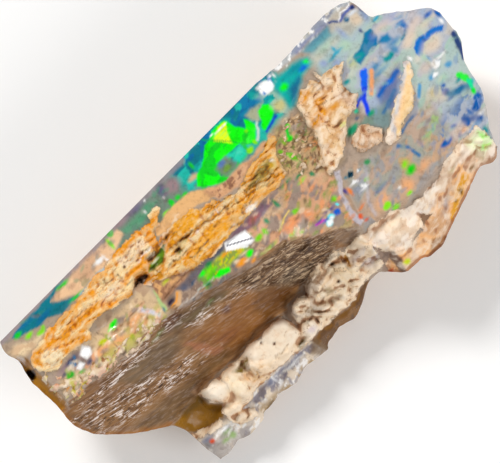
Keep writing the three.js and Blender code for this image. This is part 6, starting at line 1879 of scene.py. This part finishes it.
def stone_material():
    """One material for the whole stone, which reads from the mesh what each point is made of."""
    material = bpy.data.materials.new("rough_opal_stone")
    n = Nodes(material)
    to_mm = {0: n.add("ShaderNodeTexCoord", {}).outputs["Object"], 1: (1 / MM,) * 3}
    place = n.add("ShaderNodeVectorMath", to_mm, operation="MULTIPLY").outputs[0]
    crevice, facet = n.attribute("crevice"), n.attribute("facet")
    # Painted shade: hollow darkens the colour where a point lies below its surroundings, in the matrix and on
    # the wood.
    hollow = n.ramp(crevice, 0.02, 0.16)
    ragged = n.times(n.minus(n.noise(place, 0.4, 5, 0.7), 0.5), 0.7)
    matrix_depth = n.plus(n.attribute("matrix"), ragged)
    on_matrix, near_matrix = n.ramp(matrix_depth, -0.04, 0.06), n.ramp(matrix_depth, -0.7, -0.25)
    splinters = n.noise(n.stretched(place, GRAIN_TURN, 3, 0.35), 1, 4, 0.7)
    wood_depth = n.plus(n.attribute("wood"), n.times(n.minus(splinters, 0.5), 1.8))
    on_wood = n.ramp(wood_depth, -0.15, 0.25)
    matrix, wood = matrix_look(n, place, crevice, hollow), wood_look(n, place, hollow)
    opal = opal_look(n, place, facet, near_matrix)
    colour = n.mix(on_matrix, n.mix(on_wood, opal.colour, wood.colour), matrix.colour)
    roughness = n.blend(on_matrix, n.blend(on_wood, opal.roughness, wood.roughness), matrix.roughness)
    height = n.blend(on_matrix, n.blend(on_wood, opal.height, wood.height), matrix.height)
    height = n.times(height, n.minus(1.0, facet))
    relief_node = n.add("ShaderNodeBump", {"Strength": 0.7, "Distance": BUMP_DEPTH, "Height": height})
    inputs = {"Base Color": colour, "Roughness": roughness, "Normal": relief_node.outputs[0]}
    shader = n.add("ShaderNodeBsdfPrincipled", {**inputs, "IOR": 1.45, "Specular IOR Level": 0.35})
    n.add("ShaderNodeOutputMaterial", {"Surface": shader.outputs[0]})
    return material


# ------------------------------------------------------------------ stage, light and camera

FLOOR_SIZE = 3.0
FLOOR_GAP = 0.02 * MM
FLOOR_WHITE = (252, 252, 252)
KEY_ELEVATION = math.radians(50)  # the glint facets are sloped for this
KEY_WARMTH, SKY = (1, 0.985, 0.96), (0.98, 0.99, 1, 1)
PICTURE_TURN = math.radians(-44.1)  # the stone lies aslant in the picture
PICTURE_WIDTH = 42.5 * MM
CAMERA_HEIGHT = 1.2
SENSOR = 36.0


def plain_material(name, colour, roughness):
    material = bpy.data.materials.new(name)
    n = Nodes(material)
    shader = n.add("ShaderNodeBsdfPrincipled", {"Base Color": rgb(*colour), "Roughness": roughness})
    n.add("ShaderNodeOutputMaterial", {"Surface": shader.outputs[0]})
    return material


def make_floor():
    half = FLOOR_SIZE / 2
    mesh = bpy.data.meshes.new("floor")
    corners = [(x * half, y * half, -FLOOR_GAP) for x, y in ((-1, -1), (1, -1), (1, 1), (-1, 1))]
    mesh.from_pydata(corners, [], [(0, 1, 2, 3)])
    floor = bpy.data.objects.new("floor", mesh)
    floor.data.materials.append(plain_material("floor", FLOOR_WHITE, 0.9))
    bpy.context.scene.collection.objects.link(floor)


def area_light(name, direction, distance, size, watts, tint=(1, 1, 1)):
    """A square soft light that faces the stone from one direction."""
    data = bpy.data.lights.new(name, "AREA")
    data.size, data.energy, data.color = size, watts, tint
    light = bpy.data.objects.new(name, data)
    away = Vector(direction).normalized()
    light.location = away * distance
    light.rotation_euler = away.to_track_quat("Z", "Y").to_euler()
    light.visible_camera = False
    bpy.context.scene.collection.objects.link(light)


def make_light():
    to_key = (0, math.cos(KEY_ELEVATION), math.sin(KEY_ELEVATION))
    area_light("key", to_key, distance=0.4, size=0.08, watts=0.95, tint=KEY_WARMTH)
    area_light("fill", (0.3, -0.8, 0.6), distance=0.5, size=0.3, watts=1.2)
    world = bpy.data.worlds.new("studio")
    bpy.context.scene.world = world
    world.use_nodes = True
    background = world.node_tree.nodes["Background"]
    background.inputs["Color"].default_value = SKY
    background.inputs["Strength"].default_value = 0.4


def make_camera():
    data = bpy.data.cameras.new("camera")
    data.sensor_width = SENSOR
    data.lens = SENSOR * CAMERA_HEIGHT / PICTURE_WIDTH
    data.clip_start, data.clip_end = 0.01, 10
    camera = bpy.data.objects.new("camera", data)
    camera.location = (-PLAN_CENTRE[0] * MM, -PLAN_CENTRE[1] * MM, FACE_HEIGHT * MM + CAMERA_HEIGHT)
    camera.rotation_euler = (0, 0, PICTURE_TURN)
    bpy.context.scene.collection.objects.link(camera)
    bpy.context.scene.camera = camera


stone = build_stone()
stone.data.materials.append(stone_material())
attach(stone, "root")
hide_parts(NODE)
make_floor()
make_light()
make_camera()
bpy.context.scene.view_settings.view_transform = "Standard"
